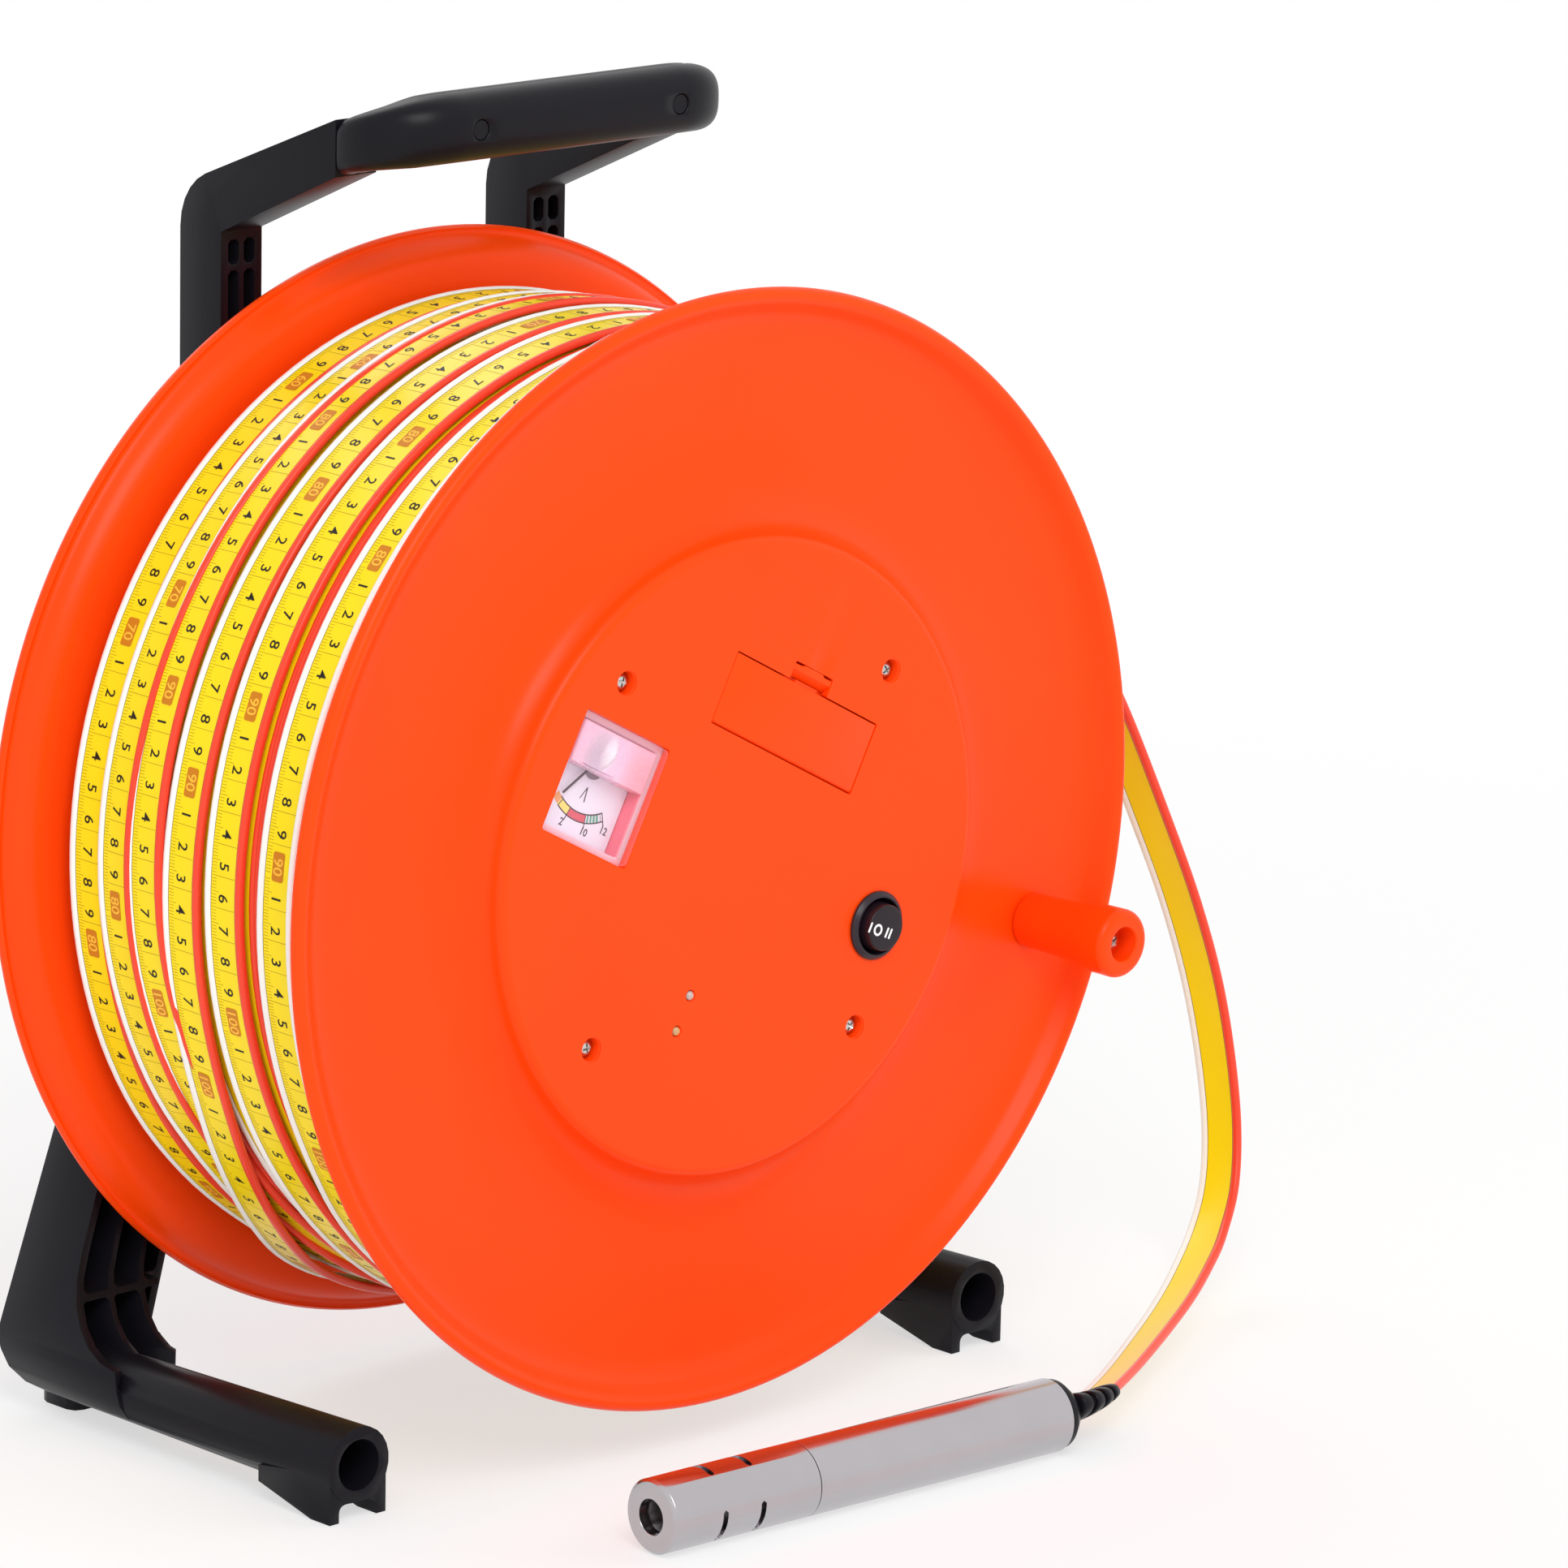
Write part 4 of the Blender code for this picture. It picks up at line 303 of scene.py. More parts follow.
brass = metal("brass", (0.78, 0.56, 0.22), 0.3, 900.0, 0.08, (-pi / 2, 0, 0))


# Mesh helpers

def place_object(name, mesh, mats):
    obj = bpy.data.objects.new(name, mesh)
    bpy.context.scene.collection.objects.link(obj)
    if mesh.materials:
        mesh.materials.clear()
    for mat in (mats if isinstance(mats, (list, tuple)) else [mats]):
        mesh.materials.append(mat)
    return obj


def from_bmesh(name, bm, mats, place=Matrix(), angle=32, turn_normals=True):
    """Close a bmesh into an object whose place is in its mesh."""
    if turn_normals:
        bmesh.ops.recalc_face_normals(bm, faces=bm.faces[:])
    bm.transform(place)
    mesh = bpy.data.meshes.new(name)
    bm.to_mesh(mesh)
    bm.free()
    mesh.shade_smooth()
    mesh.set_sharp_from_angle(angle=radians(angle))
    return place_object(name, mesh, mats)


def apply_modifiers(obj):
    """Replace the mesh by what its modifiers make of it."""
    bpy.context.view_layer.update()
    graph = bpy.context.evaluated_depsgraph_get()
    mesh = bpy.data.meshes.new_from_object(obj.evaluated_get(graph), depsgraph=graph)
    old = obj.data
    obj.modifiers.clear()
    obj.data = mesh
    bpy.data.meshes.remove(old)
    return obj


def combine(obj, tools, operation='DIFFERENCE'):
    for tool in tools:
        step = obj.modifiers.new(tool.name, 'BOOLEAN')
        step.operation = operation
        step.solver = 'EXACT'
        step.object = tool
    apply_modifiers(obj)
    for tool in tools:
        bpy.data.objects.remove(tool, do_unlink=True)
    return obj


def soften(obj, width, segments=2, angle=32, smooth_angle=40):
    """Round the sharp edges."""
    step = obj.modifiers.new("soft_edges", 'BEVEL')
    step.width = width
    step.segments = segments
    step.limit_method = 'ANGLE'
    step.angle_limit = radians(angle)
    step.use_clamp_overlap = True
    step.miter_outer = 'MITER_ARC'
    apply_modifiers(obj)
    obj.data.shade_smooth()
    obj.data.set_sharp_from_angle(angle=radians(smooth_angle))
    return obj


def filleted(corners, steps=6):
    """Round the corners of an open line of (a, b) or (a, b, radius) points."""
    points = []
    for k, corner in enumerate(corners):
        radius = corner[2] if len(corner) > 2 else 0
        here = Vector(corner[:2])
        if not radius or k in (0, len(corners) - 1):
            points.append(tuple(here))
            continue
        back = Vector(corners[k - 1][:2]) - here
        onward = Vector(corners[k + 1][:2]) - here
        half = back.angle(onward) / 2
        reach = min(radius / tan(half), 0.49 * back.length, 0.49 * onward.length)
        radius = reach * tan(half)
        first = here + back.normalized() * reach
        last = here + onward.normalized() * reach
        middle = here + (back.normalized() + onward.normalized()).normalized() * (radius / sin(half))
        start = atan2(first.y - middle.y, first.x - middle.x)
        sweep = (atan2(last.y - middle.y, last.x - middle.x) - start + pi) % (2 * pi) - pi
        for j in range(steps + 1):
            angle = start + sweep * j / steps
            points.append((middle.x + radius * cos(angle), middle.y + radius * sin(angle)))
    return points


def curve_through(points, steps):
    """A smooth line through points of any number of values."""
    out = []
    last = len(points) - 1
    for k in range(last):
        p0, p1, p2, p3 = points[max(k - 1, 0)], points[k], points[k + 1], points[min(k + 2, last)]
        for j in range(steps):
            t = j / steps
            out.append(tuple(
                0.5 * (2 * b + (c - a) * t + (2 * a - 5 * b + 4 * c - d) * t ** 2
                       + (3 * b - a - 3 * c + d) * t ** 3)
                for a, b, c, d in zip(p0, p1, p2, p3)))
    out.append(tuple(points[-1]))
    return out


def turned(name, profile, mats, place=Matrix(), steps=96, at=(0, 0), angle=32, closed=True):
    """Revolve (radius, z) points about z. A point at radius 0 becomes a closed pole."""
    bm = bmesh.new()
    rings = []
    for radius, z in profile:
        if radius < 1e-7:
            rings.append([bm.verts.new((0, 0, z))])
        else:
            rings.append([bm.verts.new((*polar(radius, 2 * pi * k / steps), z)) for k in range(steps)])
    poles = profile[0][0] < 1e-7 and profile[-1][0] < 1e-7
    pairs = list(zip(rings, rings[1:]))
    if closed and not poles:
        pairs.append((rings[-1], rings[0]))
    for here, there in pairs:
        for k in range(steps):
            n = (k + 1) % steps
            corners = []
            for ring, index in ((here, k), (here, n), (there, n), (there, k)):
                vert = ring[index] if len(ring) > 1 else ring[0]
                if vert not in corners:
                    corners.append(vert)
            if len(corners) > 2:
                bm.faces.new(corners)
    return from_bmesh(name, bm, mats, place @ Matrix.Translation((at[0], at[1], 0)), angle)


def loft(name, rings, mats, place=Matrix(), angle=40, segment_mats=None, loop=False):
    """A closed skin through rings of points. segment_mats gives the material of each strip along it."""
    bm = bmesh.new()
    rows = [[bm.verts.new(point) for point in ring] for ring in rings]
    count = len(rows[0])
    pairs = list(zip(rows, rows[1:]))
    if loop:
        pairs.append((rows[-1], rows[0]))
    for here, there in pairs:
        for k in range(count):
            n = (k + 1) % count
            face = bm.faces.new((here[k], here[n], there[n], there[k]))
            if segment_mats:
                face.material_index = segment_mats[k]
    if not loop:
        bm.faces.new(rows[0])
        bm.faces.new(rows[-1])
    return from_bmesh(name, bm, mats, place, angle)


def plate(name, loops, low, high, mats, place=Matrix(), angle=32):
    """A flat plate from low to high in z. The first loop is its outline, the rest are holes."""
    curve = bpy.data.curves.new(name, 'CURVE')
    curve.dimensions = '2D'
    curve.fill_mode = 'BOTH'
    curve.extrude = (high - low) / 2
    for points in loops:
        spline = curve.splines.new('POLY')
        spline.points.add(len(points) - 1)
        for point, (x, y) in zip(spline.points, points):
            point.co = (x, y, 0, 1)
        spline.use_cyclic_u = True
    drawn = bpy.data.objects.new(name + "_outline", curve)
    bpy.context.scene.collection.objects.link(drawn)
    bpy.context.view_layer.update()
    graph = bpy.context.evaluated_depsgraph_get()
    mesh = bpy.data.meshes.new_from_object(drawn.evaluated_get(graph))
    bpy.data.objects.remove(drawn)
    bm = bmesh.new()
    bm.from_mesh(mesh)
    bpy.data.meshes.remove(mesh)
    bmesh.ops.remove_doubles(bm, verts=bm.verts[:], dist=1e-6)
    bmesh.ops.translate(bm, vec=(0, 0, (low + high) / 2), verts=bm.verts)
    bmesh.ops.dissolve_limit(bm, angle_limit=radians(0.1), verts=bm.verts[:], edges=bm.edges[:])
    return from_bmesh(name, bm, mats, place, angle)


def rounded(corners, radius, steps=5):
    """A closed outline with every corner rounded."""
    count = len(corners)
    points = []
    for k in range(count):
        trio = [corners[k - 1], (*corners[k], radius), corners[(k + 1) % count]]
        points += filleted(trio, steps)[1:-1]
    return points


def rectangle(half_x, half_y, at=(0, 0)):
    x, y = at
    return [(x + half_x * a, y + half_y * b) for a, b in ((-1, -1), (1, -1), (1, 1), (-1, 1))]


def polar(radius, angle):
    return (radius * cos(angle), radius * sin(angle))


def merged_copy(name, node, mats):
    """The CAD node's mesh as a new piece, with its loose triangles joined into flat faces."""
    bm = bmesh.new()
    bm.from_mesh(nodes[node].data)
    bmesh.ops.remove_doubles(bm, verts=bm.verts[:], dist=2e-6)
    bmesh.ops.dissolve_limit(bm, angle_limit=radians(1.2), verts=bm.verts[:], edges=bm.edges[:])
    return from_bmesh(name, bm, mats, turn_normals=False)


def finish_piece(piece, body, slot, *replaced):
    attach(piece, body)
    if replaced:
        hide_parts(*replaced)
    return piece


def dress(mat, *names):
    """Give CAD nodes that stay a better material."""
    for name in names:
        mesh = nodes[name].data
        mesh.materials.clear()
        mesh.materials.append(mat)


# Geometry-nodes tree that sets out copies of one item on marked points

def set_out_tree():
    tree = bpy.data.node_groups.new("set_out", "GeometryNodeTree")
    face = tree.interface
    face.new_socket("Points", in_out='INPUT', socket_type='NodeSocketGeometry')
    face.new_socket("Item", in_out='INPUT', socket_type='NodeSocketObject')
    face.new_socket("Item Size", in_out='INPUT', socket_type='NodeSocketFloat').default_value = 1.0
    face.new_socket("Finish", in_out='INPUT', socket_type='NodeSocketMaterial')
    face.new_socket("Pieces", in_out='OUTPUT', socket_type='NodeSocketGeometry')
    entry = tree.nodes.new("NodeGroupInput").outputs
    leave = tree.nodes.new("NodeGroupOutput").inputs
    item = put(tree, "GeometryNodeObjectInfo", {"Object": entry["Item"]})
    facing = tree.nodes.new("GeometryNodeInputNamedAttribute")
    facing.data_type = 'FLOAT_VECTOR'
    facing.inputs["Name"].default_value = "facing"
    turn = put(tree, "FunctionNodeEulerToRotation", {"Euler": facing.outputs[0]})
    copies = put(tree, "GeometryNodeInstanceOnPoints",
                 {"Points": entry["Points"], "Instance": item.outputs["Geometry"],
                  "Rotation": turn.outputs[0], "Scale": entry["Item Size"]})
    real = put(tree, "GeometryNodeRealizeInstances", {"Geometry": copies.outputs[0]})
    coated = put(tree, "GeometryNodeSetMaterial", {"Geometry": real.outputs[0], "Material": entry["Finish"]})
    tree.links.new(coated.outputs[0], leave["Pieces"])
    return tree


set_out = set_out_tree()


def set_out_items(name, item, places, mat, size=1.0):
    """A plain mesh of copies of item, one at each matrix of places."""
    mesh = bpy.data.meshes.new(name)
    mesh.from_pydata([tuple(place.translation) for place in places], [], [])
    facing = mesh.attributes.new("facing", 'FLOAT_VECTOR', 'POINT')
    for point, place in zip(facing.data, places):
        point.vector = place.to_euler()
    obj = place_object(name, mesh, mat)
    step = obj.modifiers.new("set_out", 'NODES')
    step.node_group = set_out
    sockets = {s.name: s.identifier for s in set_out.interface.items_tree if s.in_out == 'INPUT'}
    step[sockets["Item"]] = item
    step[sockets["Item Size"]] = size
    step[sockets["Finish"]] = mat
    apply_modifiers(obj)
    obj.data.shade_smooth()
    obj.data.set_sharp_from_angle(angle=radians(32))
    return obj


def join_pieces(name, pieces):
    """Several plain meshes as one piece that keeps their materials."""
    bm = bmesh.new()
    mats = []
    for piece in pieces:
        first = len(bm.faces)
        bm.from_mesh(piece.data)
        table = []
        for mat in piece.data.materials:
            if mat not in mats:
                mats.append(mat)
            table.append(mats.index(mat))
        bm.faces.ensure_lookup_table()
        for face in bm.faces[first:]:
            face.material_index = table[min(face.material_index, len(table) - 1)]
        bpy.data.objects.remove(piece, do_unlink=True)
    return from_bmesh(name, bm, mats, turn_normals=False)


# Tape: its section and how it is swept

def tape_section():
    """Outline across the tape as (to the white edge, outward) pairs, with the material of each strip.
    Materials: 0 yellow band, 1 white edge, 2 red edge, 3 the seam beside the band, painted dark as the shade
    in its groove."""
    half, bead, band = TAPE_WIDTH / 2, TAPE_THICK / 2, TAPE_BAND / 2
    centre = half - TAPE_EDGE / 2
    start = 150
    arc = []
    for k in range(13):
        angle = radians(start - 2 * start * k / 12)
        c, s = cos(angle), sin(angle)
        reach = (abs(c) ** 2.6 + abs(s) ** 2.6) ** (-1 / 2.6)
        arc.append((centre + TAPE_EDGE / 2 * c * reach, bead * s * reach))
    inner = centre - TAPE_EDGE / 2 - 0.15 * MM
    white = [(inner, band)] + arc + [(inner, -band)]
    points = white + [(-u, -v) for u, v in white]
    edge = [3] + [1] * 12 + [3]
    mats = edge + [0] + [3] + [2] * 12 + [3] + [0]
    return points, mats


SECTION, SECTION_MATS = tape_section()
TAPE_MATS = [tape_band, tape_white, tape_red, tape_groove_shade]


def sweep_tape(name, stations, loop=False):
    """A skin along stations of (place, ahead, towards the white edge, outward)."""
    rings = [[place + across * u + outward * v for u, v in SECTION]
             for place, ahead, across, outward in stations]
    return loft(name, rings, TAPE_MATS, angle=50, segment_mats=SECTION_MATS, loop=loop)


def free_tape_stations(count=150):
    start_r = WINDING_R + GAP + TAPE_THICK / 2
    leave = radians(TAPE_LEAVES)
    rows = []
    for run in (0, 36 * MM):
        rows.append((start_r * cos(leave) + run * sin(leave), -46 * MM,
                     AXLE_HEIGHT + start_r * sin(leave) - run * cos(leave), 0.0))
    rows += [(x * MM, y * MM, z * MM, roll) for x, y, z, roll in TAPE_ROUTE]
    fine = curve_through(rows, 24)
    run = [0.0]
    for here, there in zip(fine, fine[1:]):
        run.append(run[-1] + (Vector(there[:3]) - Vector(here[:3])).length)
    path = []
    spot = 0
    for k in range(count):
        want = run[-1] * k / (count - 1)
        while spot < len(run) - 2 and run[spot + 1] < want:
            spot += 1
        share = (want - run[spot]) / (run[spot + 1] - run[spot])
        path.append([a + (b - a) * share for a, b in zip(fine[spot], fine[spot + 1])])
    stations = []
    for k, row in enumerate(path):
        before, after = path[max(k - 1, 0)], path[min(k + 1, count - 1)]
        ahead = (Vector(after[:3]) - Vector(before[:3])).normalized()
        level = (Vector((0, 1, 0)) - ahead * ahead.y).normalized()
        roll = radians(row[3])
        across = level * cos(roll) + level.cross(ahead) * sin(roll)
        stations.append((Vector(row[:3]), ahead, across, ahead.cross(across)))
    return stations, run[-1]


free_stations, free_length = free_tape_stations()
free_tape = sweep_tape("free_tape_strip", free_stations)


# Strain relief and probe

def ring_points(centre, across, up, half_w, half_h, power=3.0, steps=40):
    points = []
    for k in range(steps):
        angle = 2 * pi * k / steps
        c, s = cos(angle), sin(angle)
        reach = (abs(c) ** power + abs(s) ** power) ** (-1 / power)
        points.append(centre + across * (half_w * c * reach) + up * (half_h * s * reach))
    return points


CAP_START = 167.3 * MM
CAP_TIP = CAP_START + 5.5 * MM
RELIEF_RIBS = 4
# The relief's foot in the cap: (back from the cap's tip, half width) in millimetres
RELIEF_ROOT = ((3.0, 4.2), (-0.3, 4.2), (-0.3, 7.0))
# One rib and the groove after it: (share of the rib's length, depth below its crest in millimetres)
RELIEF_RIB = ((0.0, 0.5), (0.05, 0.12), (0.10, 0.0), (0.50, 0.0), (0.56, 0.12), (0.60, 0.5), (0.62, 1.3),
              (0.98, 1.3))


def strain_relief():
    """Four ribs that shrink from the cap to the mouth, on the tape's last bend."""
    place, ahead, across_tape = free_stations[-1][:3]
    axis = probe_place.to_3x3() @ Vector((0, 0, 1))
    base = PROBE_TIP + axis * CAP_TIP
    mouth = place - ahead * 1.0 * MM
    handle = (mouth - base).length / 3
    p0, p1, p2, p3 = base, base + axis * handle, mouth + ahead * handle, mouth

    def station(t):
        centre = p0 * (1 - t) ** 3 + p1 * (3 * t * (1 - t) ** 2) + p2 * (3 * t * t * (1 - t)) + p3 * t ** 3
        along = axis.lerp(-ahead, t).normalized()
        across = (across_tape - along * across_tape.dot(along)).normalized()
        return centre, across, along.cross(across).normalized()

    rings = []
    centre, across, up = station(0.0)
    for back, half in RELIEF_ROOT:
        rings.append(ring_points(centre - axis * back * MM, across, up, half * MM, half * MM, 2.0))
    for k in range(RELIEF_RIBS):
        for part, drop in RELIEF_RIB:
            share = 0.04 + 0.96 * (k + part) / RELIEF_RIBS
            half_w = (10.4 - 0.8 * share - drop) * MM
            half_h = (4.9 - 2.0 * share - drop * 0.9) * MM
            centre, across, up = station(share)
            rings.append(ring_points(centre, across, up, half_w, half_h, 2.2 + 0.8 * share))
    return loft("strain_relief_sleeve", rings, black_plastic, angle=35)


def probe():
    seam = 59.7 * MM
    bore = 9.6 * MM
    chamfer = 1.0 * MM
    nose = turned("probe_nose_sleeve", filleted([
        (bore, seam - 0.15 * MM), (PROBE_R - 0.25 * MM, seam - 0.15 * MM), (PROBE_R, seam - 0.4 * MM),
        (PROBE_R, chamfer, 0.3 * MM), (PROBE_R - chamfer, 0, 0.3 * MM), (5.7 * MM, 0, 0.25 * MM),
        (5.7 * MM, 4 * MM), (bore, 4 * MM)], 3), probe_steel, probe_place, 160)
    tools = []
    for row, place in enumerate((20.3 * MM, 35.8 * MM)):
        for k in range(3):
            tool = slot_tool(f"slot_{row}_{k}", place, radians(31))
            tool.data.transform(probe_place @ Matrix.Rotation(radians(55.5 + 120 * k), 4, 'Z'))
            tools.append(tool)
    combine(nose, tools)
    soften(nose, 0.12 * MM, 1, 50, 35)
    body = turned("probe_body_sleeve", filleted([
        (bore, 167 * MM), (PROBE_R - 0.3 * MM, 167 * MM), (PROBE_R, 166.6 * MM), (PROBE_R, seam + 0.4 * MM),
        (PROBE_R - 0.25 * MM, seam + 0.15 * MM), (9.3 * MM, seam + 0.15 * MM), (9.3 * MM, 51.7 * MM),
        (4.3 * MM, 51.7 * MM), (4.3 * MM, 62.1 * MM), (bore, 62.1 * MM)], 3), probe_steel, probe_place, 160)
    cap = turned("probe_end_cap", filleted([
        (0, CAP_TIP), (8.4 * MM, CAP_TIP, 0.8 * MM), (11.3 * MM, CAP_START + 2.0 * MM, 1.0 * MM),
        (11.6 * MM, CAP_START), (9.3 * MM, CAP_START), (9.3 * MM, CAP_START - 12 * MM),
        (0, CAP_START - 12 * MM)], 4),
        black_plastic, probe_place, 96)
    return nose, body, cap


def slot_tool(name, place, half_angle):
    """A slot with round ends, bent round the sleeve."""
    bm = bmesh.new()
    rows = []
    half = 1.0 * MM
    for k in range(17):
        t = -1 + 2 * k / 16
        angle = half_angle * t
        width = half * sqrt(max(0.0, 1 - max(0.0, (abs(t) - 0.86) / 0.14) ** 2)) + 0.02 * MM
        row = []
        for radius in (8 * MM, 14 * MM):
            for z in (place - width, place + width):
                row.append(bm.verts.new((radius * cos(angle), radius * sin(angle), z)))
        rows.append(row)
    for here, there in zip(rows, rows[1:]):
        for a, b in ((0, 1), (1, 3), (3, 2), (2, 0)):
            bm.faces.new((here[a], here[b], there[b], there[a]))
    for row in (rows[0], rows[-1]):
        bm.faces.new((row[0], row[1], row[3], row[2]))
    return from_bmesh(name, bm, probe_steel)


relief = strain_relief()
nose, probe_body, probe_cap = probe()
finish_piece(free_tape, "stand", "tape_yellow", "free_tape")
finish_piece(relief, "stand", "black_plastic", "tape_strain_relief")
finish_piece(nose, "stand", "steel", "probe_nose")
finish_piece(probe_body, "stand", "steel", "probe_body")
finish_piece(probe_cap, "stand", "black_plastic", "probe_cap")
dress(nylon, "probe_insulator")
dress(zinc_steel, "probe_electrode")


# Flanges

def flange_skin():
    """Half section of the disc and its rolled rim as (radius, front) points: outer face, then inner face."""
    outer = curve_through([
        (125, 65), (145, 65.1), (158, 65.5), (166, 66.3), (170.5, 68.0), (173.2, 70.6), (175.2, 72.8),
        (177.2, 73.9), (179.0, 73.4), (180, 71.6), (179.9, 70.4)], 3)
    inner = curve_through([
        (179.2, 69.4), (178.0, 69.8), (176.6, 69.0), (174.4, 65.8), (171.0, 63.3), (166, 62.5), (150, 62.1),
        (125, 62)], 3)
    return [(r * MM, f * MM) for r, f in outer], [(r * MM, f * MM) for r, f in inner]


def drum_rod(name, radius, low, high, at, steps=32, flare=0.0, place=None):
    """A cutter or rod along the drum's axis. flare widens its top end to round the edge it cuts."""
    profile = [(0, high), (radius + flare, high)]
    if flare:
        profile += [(radius + flare, high - 1 * MM)]
        profile += [(radius + flare * (1 - sin(a)), high - 1 * MM - flare * (1 - cos(a)))
                    for a in (0.5, 1.0, pi / 2)]
    profile += [(radius, low), (0, low)]
    return turned(name, profile, orange_plastic, place or drum_place, steps, at)


KNOB_AT = polar(152 * MM, radians(-17.8))


def front_flange():
    outer, inner = flange_skin()
    foot = curve_through([(98.6, 79), (100.6, 78.8), (102.4, 77.4), (103.9, 73.8), (107.2, 70.2), (113, 67.4),
                          (121, 65.8), (132, 65.1)], 4)
    hub = [(0, PANEL_FRONT)] + [(r * MM, f * MM) for r, f in foot]
    roof, inside = PANEL_FRONT - FLANGE_WALL, DISC_FRONT - FLANGE_WALL
    hollow = filleted([(150 * MM, inside), (PANEL_R - FLANGE_WALL, inside, 2 * MM),
                       (PANEL_R - FLANGE_WALL, roof, 2 * MM), (0, roof)], 3)[1:]
    flange = turned("front_flange_disc", hub + outer[3:] + inner + hollow, orange_plastic, drum_place, 224)
    wells = [polar(SCREW_PITCH_R, SCREW_TURN + k * pi / 2) for k in range(4)]
    combine(flange, [drum_rod(f"column_{k}", 6 * MM, inside, roof + 0.5 * MM, at)
                     for k, at in enumerate(wells)], 'UNION')
    tools = [drum_rod(f"well_{k}", 3.6 * MM, PANEL_FRONT - 4.5 * MM, PANEL_FRONT + 0.6 * MM, at, 32, 0.5 * MM)
             for k, at in enumerate(wells)]
    tools += [drum_rod(f"hole_{k}", 2 * MM, DISC_FRONT - 5 * MM, PANEL_FRONT - 4 * MM, at, 16)
              for k, at in enumerate(wells)]
    below, above = roof - 2 * MM, PANEL_FRONT + 1 * MM
    window = rounded(rectangle(19.9 * MM, 19.9 * MM, (-PANEL_PITCH, 0)), 0.8 * MM, 3)
    tools.append(plate("window", [window], below, above, orange_plastic, panel_place))
    tools.append(plate("door_gap", [door_opening()], below, above, orange_plastic, panel_place))
    tools.append(drum_rod("switch_hole", 10.3 * MM, below, above, (PANEL_PITCH, 0), 64, 0, panel_place))
    for k, rise in enumerate((-46.4 * MM, -58.4 * MM)):
        tools.append(drum_rod(f"lamp_hole_{k}", 1.8 * MM, below, PANEL_FRONT + 0.8 * MM, (0, rise), 24,
                              0.25 * MM, panel_place))
    ball = 21 * MM
    middle = PANEL_FRONT - 0.6 * MM + ball
    dip = [(ball * sin(a), middle - ball * cos(a)) for a in (0.05 * k for k in range(9))]
    tools.append(turned("thumb_dip", dip + [(0, dip[-1][1])], orange_plastic, panel_place, 48,
                        (2 * MM, 67 * MM)))
    tools.append(drum_rod("knob_hole", 2.7 * MM, DISC_FRONT - 6 * MM, DISC_FRONT + 3 * MM, KNOB_AT, 20))
    combine(flange, tools)
    flange.data.set_sharp_from_angle(angle=radians(30))
    return flange


DOOR_RISE = 45.7 * MM
DOOR_HALF = (34.6 * MM, 11.7 * MM)
LATCH_HALF = 9.25 * MM
LATCH_REACH = 6.0 * MM


def door_opening():
    grow = 0.42 * MM
    x, y = DOOR_HALF[0] + grow, DOOR_HALF[1] + grow
    low, high = DOOR_RISE - y, DOOR_RISE + y
    corners = [(-x, low), (x, low), (x, high), (LATCH_HALF, high), (LATCH_HALF, high + LATCH_REACH),
               (-LATCH_HALF, high + LATCH_REACH), (-LATCH_HALF, high), (-x, high)]
    return rounded(corners, 0.6 * MM, 3)


def rear_flange():
    outer, inner = flange_skin()
    hub_r, hub_rear = 30 * MM, 72 * MM
    sleeve = 10.95 * MM + GAP
    face = filleted([(sleeve, hub_rear), (hub_r, hub_rear, 2 * MM), (hub_r + 2 * MM, DISC_FRONT, 4 * MM),
                     (150 * MM, DISC_FRONT)], 6)[:-1]
    sleeve_wall, sleeve_end = 3.2 * MM, -34 * MM
    inside = [(sleeve + sleeve_wall, DISC_FRONT - FLANGE_WALL), (sleeve + sleeve_wall, sleeve_end),
              (sleeve, sleeve_end)]
    profile = [(r, -f) for r, f in reversed(face + outer + inner + inside)]
    flange = turned("rear_flange_disc", profile, orange_plastic, drum_place, 224)
    tools = [drum_rod(f"rear_hole_{k}", 2 * MM, -DISC_FRONT - 1 * MM, -DISC_FRONT + 4 * MM,
                      polar(SCREW_PITCH_R, SCREW_TURN + k * pi / 2), 20) for k in range(4)]
    return combine(flange, tools)
